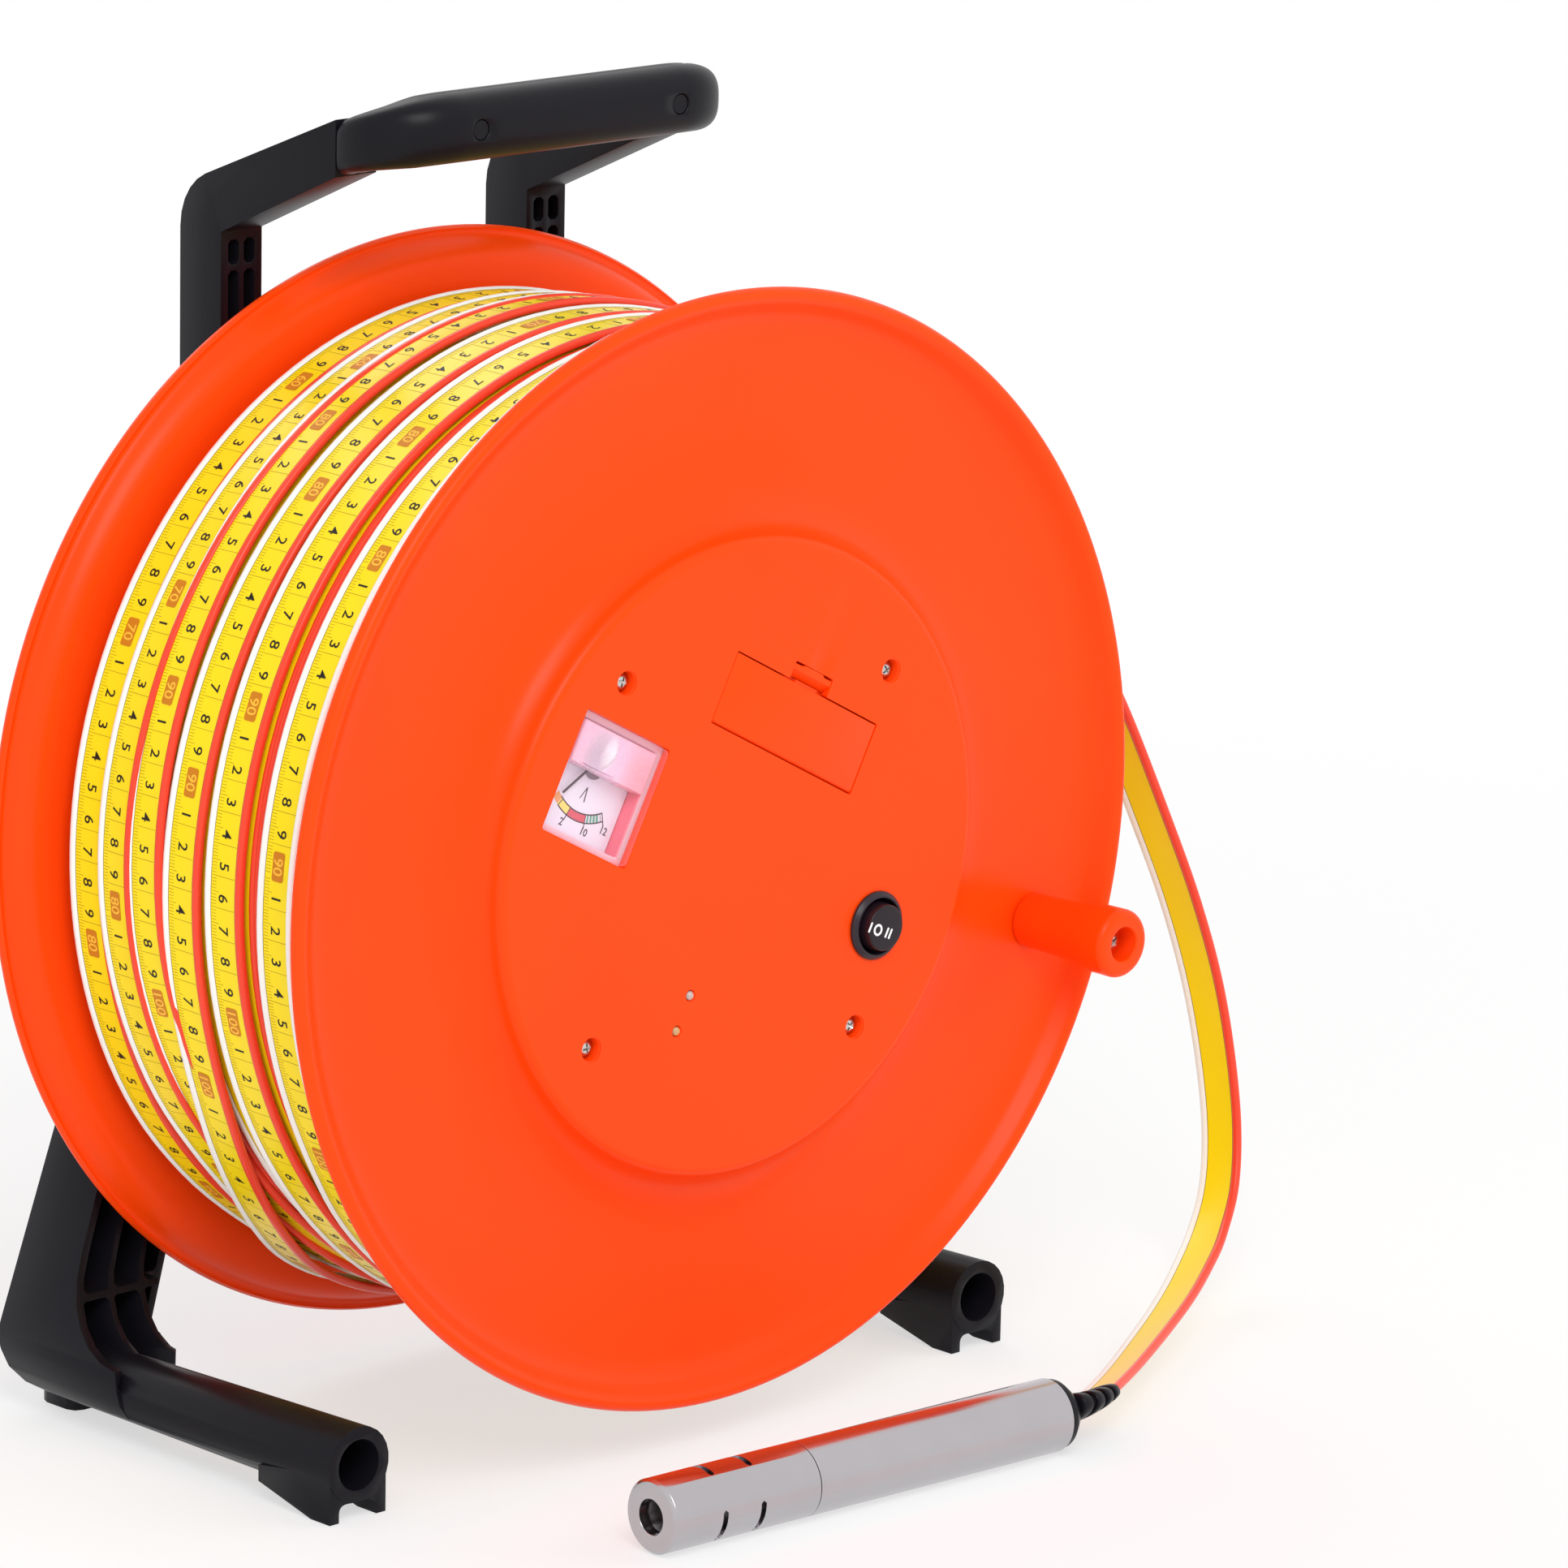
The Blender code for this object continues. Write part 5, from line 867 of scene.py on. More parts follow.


# Winding: turns from the free end inwards, as (angle, front, radius, tilt) along the tape's middle

def wound_line():
    """Keys of the outer turns. The first turn stands on edge beside the front flange; the fourth crosses
    over its neighbours to the rear at the bottom. Tilt 0 lies flat; -90 has the red edge inwards."""
    flat = WINDING_R - TAPE_THICK / 2
    turn = 360
    keys = [
        (-48, 46.0, flat + 1.7 * MM, 0), (-28, 47.5, flat + 2.6 * MM, -2), (-8, 51.5, flat + 3.4 * MM, -16),
        (10, 56.2, flat + 2.2 * MM, -46), (30, 58.2, flat - 0.6 * MM, -68),
        (60, 58.4, flat - 1.0 * MM, -74), (100, 58.4, flat - 0.8 * MM, -75),
        (150, 58.4, flat - 0.8 * MM, -76), (190, 58.4, flat - 0.8 * MM, -76),
        (222, 58.4, flat - 0.8 * MM, -76), (246, 55.4, flat + 0.6 * MM, -40),
        (268, 50.8, flat + 1.6 * MM, -10),
        (296, 47.4, flat + 0.2 * MM, 0),
        (turn - 20, 45.2, flat, 0),
        (turn + 22, 44.4, flat, 0), (turn + 60, 43.6, flat, 0), (turn + 90, 43.2, flat, 0),
        (turn + 118, 41.2, flat, 0),
        (turn + 136, 34.5, flat, 0), (turn + 170, 28.5, flat, 0), (turn + 230, 24.5, flat, 0),
        (turn + 300, 21.5, flat, 0),
        (2 * turn + 10, 20.2, flat, 0), (2 * turn + 50, 18.8, flat, 0), (2 * turn + 95, 18.6, flat, 0),
        (2 * turn + 124, 17.2, flat, 0), (2 * turn + 160, 13.0, flat, 0), (2 * turn + 230, 7.0, flat, 0),
        (2 * turn + 300, 3.0, flat, 0),
        (3 * turn + 15, 1.0, flat, 0), (3 * turn + 50, 0.0, flat, 0), (3 * turn + 85, -1.2, flat, 0),
        (3 * turn + 110, -3.0, flat + 0.6 * MM, 0), (3 * turn + 125, -9.0, flat + 2.0 * MM, 0),
        (3 * turn + 138, -18.5, flat + 3.4 * MM, 0), (3 * turn + 150, -31.0, flat + 3.6 * MM, 0),
        (3 * turn + 170, -42.5, flat + 2.6 * MM, 0), (3 * turn + 205, -47.6, flat + 0.4 * MM, 0),
        (3 * turn + 270, -48.4, flat - 0.8 * MM, 0), (3 * turn + 330, -47.4, flat - 1.2 * MM, 0),
        (4 * turn + 20, -47.3, flat - 1.2 * MM, 0), (4 * turn + 60, -47.4, flat - 1.2 * MM, 0),
        (4 * turn + 115, -47.9, flat - 1.2 * MM, 0), (4 * turn + 133, -44.5, flat - 1.2 * MM, 0),
        (4 * turn + 150, -38.5, flat - 1.4 * MM, 0), (4 * turn + 200, -34.0, flat - 0.8 * MM, 2),
        (4 * turn + 270, -32.0, flat, 3), (4 * turn + 340, -30.4, flat + 0.4 * MM, 4),
        (5 * turn + 20, -29.8, flat + 0.4 * MM, 5), (5 * turn + 50, -31.6, flat + 0.5 * MM, 5),
        (5 * turn + 90, -32.6, flat + 0.7 * MM, 5), (5 * turn + 115, -28.8, flat + 0.3 * MM, 3),
        (5 * turn + 130, -23.5, flat - 0.4 * MM, 0), (5 * turn + 160, -19.5, flat - 0.6 * MM, 0),
        (5 * turn + 230, -18.6, flat, 0), (5 * turn + 300, -18.4, flat + 0.8 * MM, 2),
        (6 * turn + 10, -18.2, flat + 1.2 * MM, 3), (6 * turn + 40, -18.6, flat + 1.2 * MM, 3),
        (6 * turn + 90, -18.0, flat + 1.0 * MM, 2), (6 * turn + 112, -14.9, flat, 0),
        (6 * turn + 135, -10.0, flat - 1.4 * MM, 0), (6 * turn + 165, -4.0, flat - 3.2 * MM, 0),
        (6 * turn + 230, 2.0, flat - 3.2 * MM, 0), (6 * turn + 300, 6.0, flat - 3.2 * MM, 0),
    ]
    return keys


class TapeLine:
    """The middle of a wound tape. Its angle grows from the top towards -X."""

    def __init__(self, keys, per_gap=24):
        self.rows = curve_through([(angle, f * MM, r, radians(tilt)) for angle, f, r, tilt in keys], per_gap)
        self.first = self.rows[0][0]
        self.last = self.rows[-1][0]

    def at(self, angle):
        """Place, ahead, towards the white edge, outward, at an angle in degrees."""
        low, high = 0, len(self.rows) - 2
        while low < high:
            middle = (low + high + 1) // 2
            if self.rows[middle][0] <= angle:
                low = middle
            else:
                high = middle - 1
        here, there = self.rows[low], self.rows[low + 1]
        share = (angle - here[0]) / (there[0] - here[0])
        front, radius, tilt = (a + (b - a) * share for a, b in zip(here[1:], there[1:]))
        slope = (there[1] - here[1]) / (radians(there[0] - here[0]) * radius)
        a = radians(angle)
        radial = Vector((-sin(a), 0, cos(a)))
        round_way = Vector((-cos(a), 0, -sin(a)))
        forward = Vector((0, -1, 0))
        ahead = (round_way + forward * slope).normalized()
        red_way = (forward - ahead * forward.dot(ahead)).normalized()
        side = red_way * cos(tilt) + radial * sin(tilt)
        outward = radial * cos(tilt) - red_way * sin(tilt)
        place = Vector((0, 0, AXLE_HEIGHT)) + radial * radius + forward * front
        return place, ahead, -side, outward, radius


outer_line = TapeLine(wound_line())
STATIONS_PER_TURN = 150


def wound_tape():
    count = int((outer_line.last - outer_line.first) / 360 * STATIONS_PER_TURN)
    stations = []
    for k in range(count + 1):
        angle = outer_line.first + (outer_line.last - outer_line.first) * k / count
        stations.append(outer_line.at(min(angle, outer_line.last - 0.001))[:4])
    return sweep_tape("wound_turns", stations)


def lower_turns():
    """The layer under the outer turns, the turns on edge in its gap, and the mass of tape below it."""
    pieces = []
    radius = WINDING_R - TAPE_THICK * 1.5 - 0.4 * MM
    edge_radius = WINDING_R - 11.7 * MM

    def closed_turn(name, keys):
        line = TapeLine(keys)
        pieces.append(sweep_tape(name, [line.at(a * 3)[:4] for a in range(120)], loop=True))

    for k, front in enumerate((-47.8, -29.6, -11.0, 7.0, 23.6, 41.0)):
        closed_turn(f"lower_turn_{k}", [(a, front + 0.8 * sin(radians(a * 2 + 50 * k)), radius, 0)
                                        for a in range(0, 361, 30)])
    for k, front in enumerate((28.9, 31.9)):
        closed_turn(f"edge_turn_{k}", [(a, front + 0.2 * sin(radians(3 * a)), edge_radius, 90)
                                       for a in range(0, 361, 30)])
    layers = []
    steps = 19
    top = radius - TAPE_THICK / 2
    pitch = (top - CORE_R - GAP) / steps
    for k in range(steps):
        low = CORE_R + GAP + k * pitch
        layers += [(low + share * pitch, front * MM)
                   for share, front in ((0.1, 56.2), (0.5, 56.8), (0.9, 56.2))]
    rear = [(r, -f - 0.4 * MM) for r, f in reversed(layers)]
    mass = turned("wound_mass", layers + [(top, 56 * MM), (top, -56.4 * MM)] + rear,
                  [tape_red, tape_white, tape_band], drum_place, 120)
    for face in mass.data.polygons:
        forward = -face.normal.y
        face.material_index = 0 if forward > 0.3 else 1 if forward < -0.3 else 2
    pieces.append(mass)
    return join_pieces("wound_layers", pieces)


# Printed marks

def glyph(text, height, mat, weight=0.0, thick=0.03 * MM):
    """Text as a thin flat mesh centred on the origin, reading along x with its top towards y."""
    curve = bpy.data.curves.new("glyph_" + text, 'FONT')
    curve.body = text
    curve.size = height / 0.70
    curve.align_x = 'CENTER'
    curve.extrude = thick / 2
    curve.offset = weight
    curve.resolution_u = 3
    drawn = bpy.data.objects.new("glyph_" + text, curve)
    bpy.context.scene.collection.objects.link(drawn)
    bpy.context.view_layer.update()
    graph = bpy.context.evaluated_depsgraph_get()
    mesh = bpy.data.meshes.new_from_object(drawn.evaluated_get(graph))
    bpy.data.objects.remove(drawn)
    mesh.transform(Matrix.Translation((0, -height / 2, 0)))
    return place_object("glyph_" + text, mesh, mat)


def strip_item(name, along, across, mat, thick=0.03 * MM, round_by=0.0):
    outline = rectangle(along / 2, across / 2)
    if round_by:
        outline = rounded(outline, round_by, 3)
    return plate(name, [outline], -thick / 2, thick / 2, mat)


def print_place(line, angle, rise=0.0, lift=0.0):
    """Where a mark goes: x along the tape, y towards the red edge, z outward."""
    place, ahead, across, outward, _ = line.at(angle)
    spot = place - across * rise + outward * (TAPE_BAND / 2 + 0.02 * MM + lift)
    turn = Matrix((ahead, -across, outward)).transposed().to_4x4()
    return Matrix.Translation(spot) @ turn


# For each turn: its first angle, its last, and where a tens box stands, with the tens there
TURN_MARKS = (
    (330, 640, 360 + 48.9, 8), (640, 1000, 720 + 32.9, 8), (1000, 1330, 1080 + 42.6, 8),
    (1330, 1700, 1440 + 28.2, 6), (1700, 2050, 1800 + 58.5, 7), (2050, 2300, 2160 + 33.8, 8),
    (-40, 330, 12.0, 6),
)
FIGURE_HEIGHT = 4.2 * MM
TENS_HEIGHT = 4.0 * MM
TENS_BOX = (9.2 * MM, 5.2 * MM)
TICK_WIDTH = 0.12 * MM
SHORT_TICK = 2.2 * MM
HALF_TICK = 3.4 * MM
TICKS_START = 0.32


def tape_print():
    digits = {}
    boxes = {}
    ticks = {"short": [], "half": [], "long": []}
    reach = TAPE_WIDTH / 2 - TAPE_EDGE - 0.3 * MM
    for first, last, anchor, tens in TURN_MARKS:
        step = degrees(10 * MM / outer_line.at(anchor)[4])
        low = -floor((anchor - first) / step)
        high = floor((last - anchor) / step)
        for k in range(low, high):
            angle = anchor + k * step
            number = (tens * 10 + k) % 100
            if number % 10 == 0:
                boxes.setdefault(str(number) if number else "100", []).append(angle)
            else:
                digits.setdefault(str(number % 10), []).append(angle)
                ticks["long"].append(print_place(outer_line, angle + TICKS_START * step))
            for j in range(1, 10):
                kind, span = ("half", HALF_TICK) if j == 5 else ("short", SHORT_TICK)
                spot = angle + (TICKS_START + j / 10) * step
                ticks[kind].append(print_place(outer_line, spot, -reach + span / 2))
    pieces = []
    for text, angles in digits.items():
        item = glyph(text, FIGURE_HEIGHT, print_black, 0.03 * MM)
        places = [print_place(outer_line, a, 0.3 * MM, 0.03 * MM) for a in angles]
        pieces.append(set_out_items("digit_" + text, item, places, print_black))
        bpy.data.objects.remove(item, do_unlink=True)
    for text, angles in boxes.items():
        places = [print_place(outer_line, a, 0.3 * MM, 0.03 * MM) for a in angles]
        box = strip_item("box", *TENS_BOX, print_orange, round_by=0.9 * MM)
        pieces.append(set_out_items("box_" + text, box, places, print_orange))
        item = glyph(text, TENS_HEIGHT, print_light, 0.03 * MM)
        raised = [p @ Matrix.Translation((0, 0, 0.035 * MM)) for p in places]
        pieces.append(set_out_items("tens_" + text, item, raised, print_light))
        for used in (box, item):
            bpy.data.objects.remove(used, do_unlink=True)
    for kind, span in (("short", SHORT_TICK), ("half", HALF_TICK), ("long", 2 * reach)):
        item = strip_item("tick", TICK_WIDTH, span, print_line)
        pieces.append(set_out_items("ticks_" + kind, item, ticks[kind], print_line))
        bpy.data.objects.remove(item, do_unlink=True)
    return join_pieces("tape_marks", pieces)


finish_piece(wound_tape(), "drum", "tape_yellow", "tape_winding")
finish_piece(lower_turns(), "drum", "tape_yellow")
finish_piece(tape_print(), "drum", "tape_yellow")
finish_piece(front_flange(), "drum", "orange_plastic", "front_flange")
finish_piece(rear_flange(), "drum", "orange_plastic", "rear_flange")
dress(orange_plastic, "core_barrel")


# Stand

stand_frame = merged_copy("stand_moulding", "frame", black_plastic)
soften(stand_frame, 0.9 * MM, 2, 40)
finish_piece(stand_frame, "stand", "black_plastic", "frame")


# Grip

ARM_END = 33 * MM
ARM_START = 88 * MM
ARM_UNDER = 184 * MM
ARM_SLOPE = 0.45
GRIP_Y = 11 * MM
GRIP_BEND = 19 * MM
GRIP_SLOPE = 0.43
GRIP_SCREW_X = 42.6 * MM


def grip_stations():
    start_x = 65.5 * MM
    bend_y = GRIP_Y + GRIP_BEND
    lead = ARM_END - bend_y
    bend = GRIP_BEND * pi / 2
    length = lead + bend
    under = ARM_UNDER + ARM_SLOPE * (ARM_START - ARM_END)
    middle = AXLE_HEIGHT + under + 9.1 * MM
    rows = []
    for k in range(26):
        run = length * k / 25
        rise = middle + GRIP_SLOPE * (run - run * run / (2 * length))
        if run <= lead:
            angle = 0.0
            place = Vector((start_x, ARM_END - run, rise))
        else:
            angle = (run - lead) / GRIP_BEND
            place = Vector((start_x - GRIP_BEND * (1 - cos(angle)), bend_y - GRIP_BEND * sin(angle), rise))
        rows.append((place, Vector((cos(angle), -sin(angle), 0)), run / length))
    rows += [(Vector(((start_x - GRIP_BEND) * (1 - k / 4), GRIP_Y, rows[-1][0].z)), Vector((0, -1, 0)), 1.0)
             for k in range(1, 5)]
    mirrored = [(Vector((-p.x, p.y, p.z)), Vector((-o.x, o.y, 0)), share)
                for p, o, share in reversed(rows[:-1])]
    return rows + mirrored


def grip():
    """Both shells of the grip as one skin, with the parting line along its top and underside."""
    rings = []
    up = Vector((0, 0, 1))
    stations = grip_stations()
    count = 64
    for index, (place, outward, share) in enumerate(stations):
        t = min(1, 1.6 * share)
        half = (8.6 + 2.4 * t) * MM
        power = 4.5 - 1.9 * t
        ends = index in (0, len(stations) - 1)
        ring = []
        for k in range(count):
            angle = 2 * pi * k / count
            c, s = cos(angle), sin(angle)
            reach = (abs(c) ** power + abs(s) ** power) ** (-1 / power)
            shrink = half - (0.5 * MM if ends else 0)
            groove = 0.22 * MM if k in (count // 4, 3 * count // 4) else 0.0
            ring.append(place + outward * (shrink * c * reach) + up * ((shrink - groove) * s * reach))
        if ends:
            shift = Vector((0, -0.45 * MM, 0))
            fuller = [place + (p - place) * (half / shrink) + shift for p in ring]
            rings += [fuller, ring] if index else [ring, fuller]
        else:
            rings.append(ring)
    piece = loft("grip_shell", rings, black_plastic, angle=30)
    height = stations[len(stations) // 2][0].z
    tools = []
    for side in (-1, 1):
        spot = Matrix.Translation((side * GRIP_SCREW_X, 0, height)) @ Matrix.Rotation(pi / 2, 4, 'X')
        tools.append(turned(f"dimple_{side}", [
            (0, 3 * MM), (3.9 * MM, 3 * MM), (3.9 * MM, 0.3 * MM), (3.4 * MM, -0.4 * MM),
            (3.4 * MM, -2.4 * MM), (0, -2.4 * MM)], black_plastic, spot, 40))
    return combine(piece, tools)


finish_piece(grip(), "stand", "black_plastic", "grip_outer_half", "grip_inner_half")
dress(black_plastic, "grip_screw_1", "grip_screw_2")


# Knob

KNOB_TIP = 108 * MM
KNOB_WELL = 8 * MM


def knob():
    place = drum_place @ Matrix.Translation((*KNOB_AT, 0))
    tip, base = KNOB_TIP, DISC_FRONT + 0.9 * MM
    well = tip - KNOB_WELL
    profile = filleted([
        (5.7 * MM, well), (5.7 * MM, tip, 0.7 * MM), (11.4 * MM, tip, 3.0 * MM),
        (11.3 * MM, tip - 10 * MM, 20 * MM), (9.4 * MM, base + 16 * MM, 40 * MM),
        (9.0 * MM, base, 0.8 * MM), (2.8 * MM, base), (2.8 * MM, well)], 6)
    return turned("winding_knob_body", profile, orange_plastic, place, 96), place


def phillips_head(name, radius, height, shank, length, mat=zinc_steel):
    """A pan-head screw pointing along z, its head's underside at z 0, with a cross recess."""
    head = turned(name, filleted([
        (0, height), (radius * 0.55, height, radius * 0.5), (radius, height * 0.35, radius * 0.3),
        (radius, 0), (shank, 0), (shank, -length), (0, -length - shank * 0.5)], 4), mat, steps=32)
    tools = []
    for turn in (0, pi / 2):
        bm = bmesh.new()
        bmesh.ops.create_cube(bm, size=1.0)
        for vert in bm.verts:
            low = vert.co.z < 0
            long, wide = (0.5, 0.16) if low else (1.25, 0.24)
            vert.co = (vert.co.x * radius * long, vert.co.y * radius * wide,
                       height - radius * 0.5 if low else height + 0.2 * MM)
        tools.append(from_bmesh(f"{name}_cross_{turn:.0f}", bm, mat, Matrix.Rotation(turn, 4, 'Z')))
    combine(head, tools)
    return soften(head, radius * 0.03, 1, 50, 35)


knob_body, knob_place = knob()
finish_piece(knob_body, "knob", "orange_plastic", "winding_knob")


def screws():
    seat = PANEL_FRONT - 4.5 * MM + GAP
    item = phillips_head("panel_screw_item", 3.0 * MM, 2.2 * MM, 1.7 * MM, 12 * MM)
    turns = (0.5, 1.2, 0.1, 0.9)
    spots = [polar(SCREW_PITCH_R, SCREW_TURN + k * pi / 2) for k in range(4)]
    places = [drum_place @ Matrix.Translation((*spot, seat)) @ Matrix.Rotation(turn, 4, 'Z')
              for spot, turn in zip(spots, turns)]
    panel = set_out_items("panel_screws", item, places, zinc_steel)
    finish_piece(panel, "drum", "screw_steel", *[f"panel_screw_{k + 1}" for k in range(4)])
    places = [drum_place @ Matrix.Translation((*spot, -DISC_FRONT - GAP)) @ Matrix.Rotation(pi, 4, 'X')
              @ Matrix.Rotation(turn + 0.4, 4, 'Z') for spot, turn in zip(spots, turns)]
    behind = set_out_items("rear_screws", item, places, zinc_steel)
    finish_piece(behind, "drum", "screw_steel", *[f"rear_screw_{k + 1}" for k in range(4)])
    bpy.data.objects.remove(item, do_unlink=True)
    item = phillips_head("knob_screw_item", 3.7 * MM, 2.8 * MM, 2.4 * MM, 42 * MM)
    spot = knob_place @ Matrix.Translation((0, 0, KNOB_TIP - KNOB_WELL + GAP)) @ Matrix.Rotation(0.7, 4, 'Z')
    one = set_out_items("knob_screw_piece", item, [spot], zinc_steel)
    finish_piece(one, "drum", "screw_steel", "knob_screw")
    bpy.data.objects.remove(item, do_unlink=True)


screws()
dress(zinc_steel, "knob_nut", "switch_nut", "axle_shaft", "axle_rear_nut", "axle_spacer_washer",
      "axle_front_washer", "axle_front_nut", "board_screw_1", "board_screw_2")
dress(nylon, "rear_bush", "front_bush")
dress(orange_plastic, "battery_box")
dress(black_plastic, "battery_snap", "buzzer")
dress(battery_grey, "battery")
dress(board_green, "circuit_board")
dress(brass, "meter_coil")

# Panel fittings, drawn in the panel's own frame: x to the right, y up, z towards the front

def panel_spot(tree, vector):
    """Object coordinates turned into the panel's x, y and front."""
    shift = put(tree, "ShaderNodeVectorMath", {0: vector}, operation='SUBTRACT')
    shift.inputs[1].default_value = panel_place.translation
    turn = panel_place.to_3x3().inverted().to_euler()
    split = put(tree, "ShaderNodeMapping", {"Vector": shift.outputs[0]}, Rotation=turn)
    return put(tree, "ShaderNodeSeparateXYZ", {"Vector": split.outputs[0]}).outputs


def fade(tree, value, low, high):
    """0 at low and 1 at high, with soft ends."""
    item = put(tree, "ShaderNodeMapRange", {"Value": value}, interpolation_type='SMOOTHSTEP')
    item.inputs["From Min"].default_value = low
    item.inputs["From Max"].default_value = high
    return item.outputs[0]


def spot_mask(tree, axes, at, reach):
    """1 at a point of the panel, fading out over reach (x, y)."""
    parts = []
    for axis, middle, size in zip(axes, at, reach):
        away = math(tree, 'SUBTRACT', axis, middle)
        parts.append(math(tree, 'POWER', math(tree, 'DIVIDE', math(tree, 'ABSOLUTE', away), size), 2.0))
    return math(tree, 'SUBTRACT', 1.0, math(tree, 'ADD', *parts), True)


METER_AT = -67 * MM
METER_PIVOT = 9 * MM
DIAL_FRONT = 70.5 * MM
CASE_ROOM = 17.6 * MM
PRINT_THICK = 0.02 * MM


def frosted_cover():
    """Frosted plastic over the movement: lilac in the middle, pink to the right, painted shade in grey over
    the coil and a painted highlight on the bulge.
    """
    mat, tree, shader, vector = start_material("frosted_cover")
    axes = panel_spot(tree, vector)
    across = fade(tree, axes["X"], METER_AT - 19 * MM, METER_AT + 19 * MM)
    colour = ramp(tree, across, [
        (0.0, (0.92, 0.52, 0.68)), (0.30, (0.84, 0.60, 0.76)), (0.66, (0.88, 0.56, 0.74)),
        (0.84, (0.98, 0.42, 0.52)), (1.0, (1.0, 0.34, 0.42))])
    up = fade(tree, axes["Y"], 9 * MM, 20 * MM)
    colour = mix(tree, math(tree, 'MULTIPLY', up, 0.6), colour, (0.92, 0.48, 0.64))
    # Painted shade: grey where the dished cover faces away from the light, over the coil.
    coil = spot_mask(tree, (axes["X"], axes["Y"]), (METER_AT - 6.8 * MM, 9.0 * MM), (6.5 * MM, 8.0 * MM))
    colour = mix(tree, math(tree, 'MULTIPLY', coil, 0.6), colour, (0.50, 0.40, 0.47))
    # Painted highlight: a whitish glint painted on the bulge.
    bulge = spot_mask(tree, (axes["X"], axes["Y"]), (METER_AT - 2.3 * MM, 10.4 * MM), (3.4 * MM, 6.4 * MM))
    colour = mix(tree, math(tree, 'MULTIPLY', bulge, 0.8), colour, (0.97, 0.90, 0.95))
    tree.links.new(colour, shader.inputs["Base Color"])
    haze = put(tree, "ShaderNodeTexNoise", {"Vector": vector}, Scale=900.0, Detail=2.0)
    bump = put(tree, "ShaderNodeBump", {"Height": haze.outputs[0]}, Strength=0.04, Distance=0.0001)
    tree.links.new(bump.outputs[0], shader.inputs["Normal"])
    rough = math(tree, 'MULTIPLY_ADD', haze.outputs[0], 0.1)
    rough.node.inputs[2].default_value = 0.22
    tree.links.new(rough, shader.inputs["Roughness"])
    set_plain(shader, Subsurface_Weight=0.15, Specular_IOR_Level=0.4)
    return mat


def see_through(name, colour, body, edge, rough=0.06):
    """Clear plastic that lets the light through: nearly open seen straight, fuller seen aslant."""
    mat, tree, shader, vector = start_material(name)
    slant = put(tree, "ShaderNodeLayerWeight", Blend=0.35).outputs["Facing"]
    alpha = math(tree, 'MULTIPLY_ADD', math(tree, 'POWER', slant, 2.0), edge)
    alpha.node.inputs[2].default_value = body
    tree.links.new(alpha, shader.inputs["Alpha"])
    smear = put(tree, "ShaderNodeTexNoise", {"Vector": vector}, Scale=220.0, Detail=3.0)
    wave = math(tree, 'MULTIPLY_ADD', smear.outputs[0], 0.08)
    wave.node.inputs[2].default_value = rough
    tree.links.new(wave, shader.inputs["Roughness"])
    set_plain(shader, Base_Color=(*colour, 1.0))
    return mat


lens_clear = see_through("lens_clear", (1.0, 0.70, 0.78), 0.03, 0.40)
lamp_clear = see_through("lamp_clear", (0.98, 0.86, 0.80), 0.35, 0.6)
lamp_amber = see_through("lamp_amber", (1.0, 0.62, 0.22), 0.45, 0.5)
case_pink = plastic("case_pink", (0.94, 0.60, 0.70), (0.98, 0.68, 0.78), 0.3, 0.02)
# Painted light: a redder copy of the case's pink for the wall the light reaches.
lit_wall_red = plastic("lit_wall_red", (0.86, 0.13, 0.19), (0.92, 0.17, 0.24), 0.3, 0.02)
dial_white = plastic("dial_white", (0.82, 0.80, 0.92), (0.88, 0.86, 0.97), 0.5, 0.02)
dial_tan = plastic("dial_tan", (0.80, 0.36, 0.14), (0.86, 0.42, 0.18), 0.5, 0.02)
dial_yellow = plastic("dial_yellow", (0.92, 0.74, 0.14), (0.96, 0.80, 0.20), 0.5, 0.02)
dial_red = plastic("dial_red", (0.66, 0.075, 0.11), (0.74, 0.10, 0.14), 0.5, 0.02)
dial_green = plastic("dial_green", (0.07, 0.34, 0.23), (0.10, 0.42, 0.29), 0.5, 0.02)
dial_line = plastic("dial_line", (0.030, 0.022, 0.030), (0.050, 0.038, 0.050), 0.5, 0.02)
movement_grey = plastic("movement_grey", (0.14, 0.12, 0.15), (0.22, 0.19, 0.23), 0.4, 0.03)
switch_plastic = plastic("switch_plastic", (0.021, 0.015, 0.021), (0.028, 0.020, 0.028), 0.32, 0.06,
                         1500.0, shine=0.3)
rocker_plastic = plastic("rocker_plastic", (0.011, 0.006, 0.009), (0.017, 0.009, 0.014), 0.28, 0.05,
                         1500.0, shine=0.3)


def square_ring(half, z, radius, at):
    return [Vector((x, y, z)) for x, y in rounded(rectangle(half, half, at), radius, 6)]


def square_shell(name, profile, mats, angle=30):
    """A shell on a rounded square plan at the meter, from (half width, front, corner radius) in mm."""
    rings = [square_ring(half * MM, z * MM, radius * MM, (METER_AT, 0)) for half, z, radius in profile]
    return loft(name, rings, mats, panel_place, angle)


def meter_window():
    return square_shell("meter_window", [
        (17.1, 78.6, 0.8), (17.75, 78.0, 1.0), (17.75, 76.0, 1.0), (19.35, 76.0, 1.3), (19.35, 78.8, 1.3),
        (19.25, 79.3, 1.4), (18.95, 79.7, 1.6), (18.5, 79.93, 1.9), (18.0, 80.0, 2.2)], lens_clear)


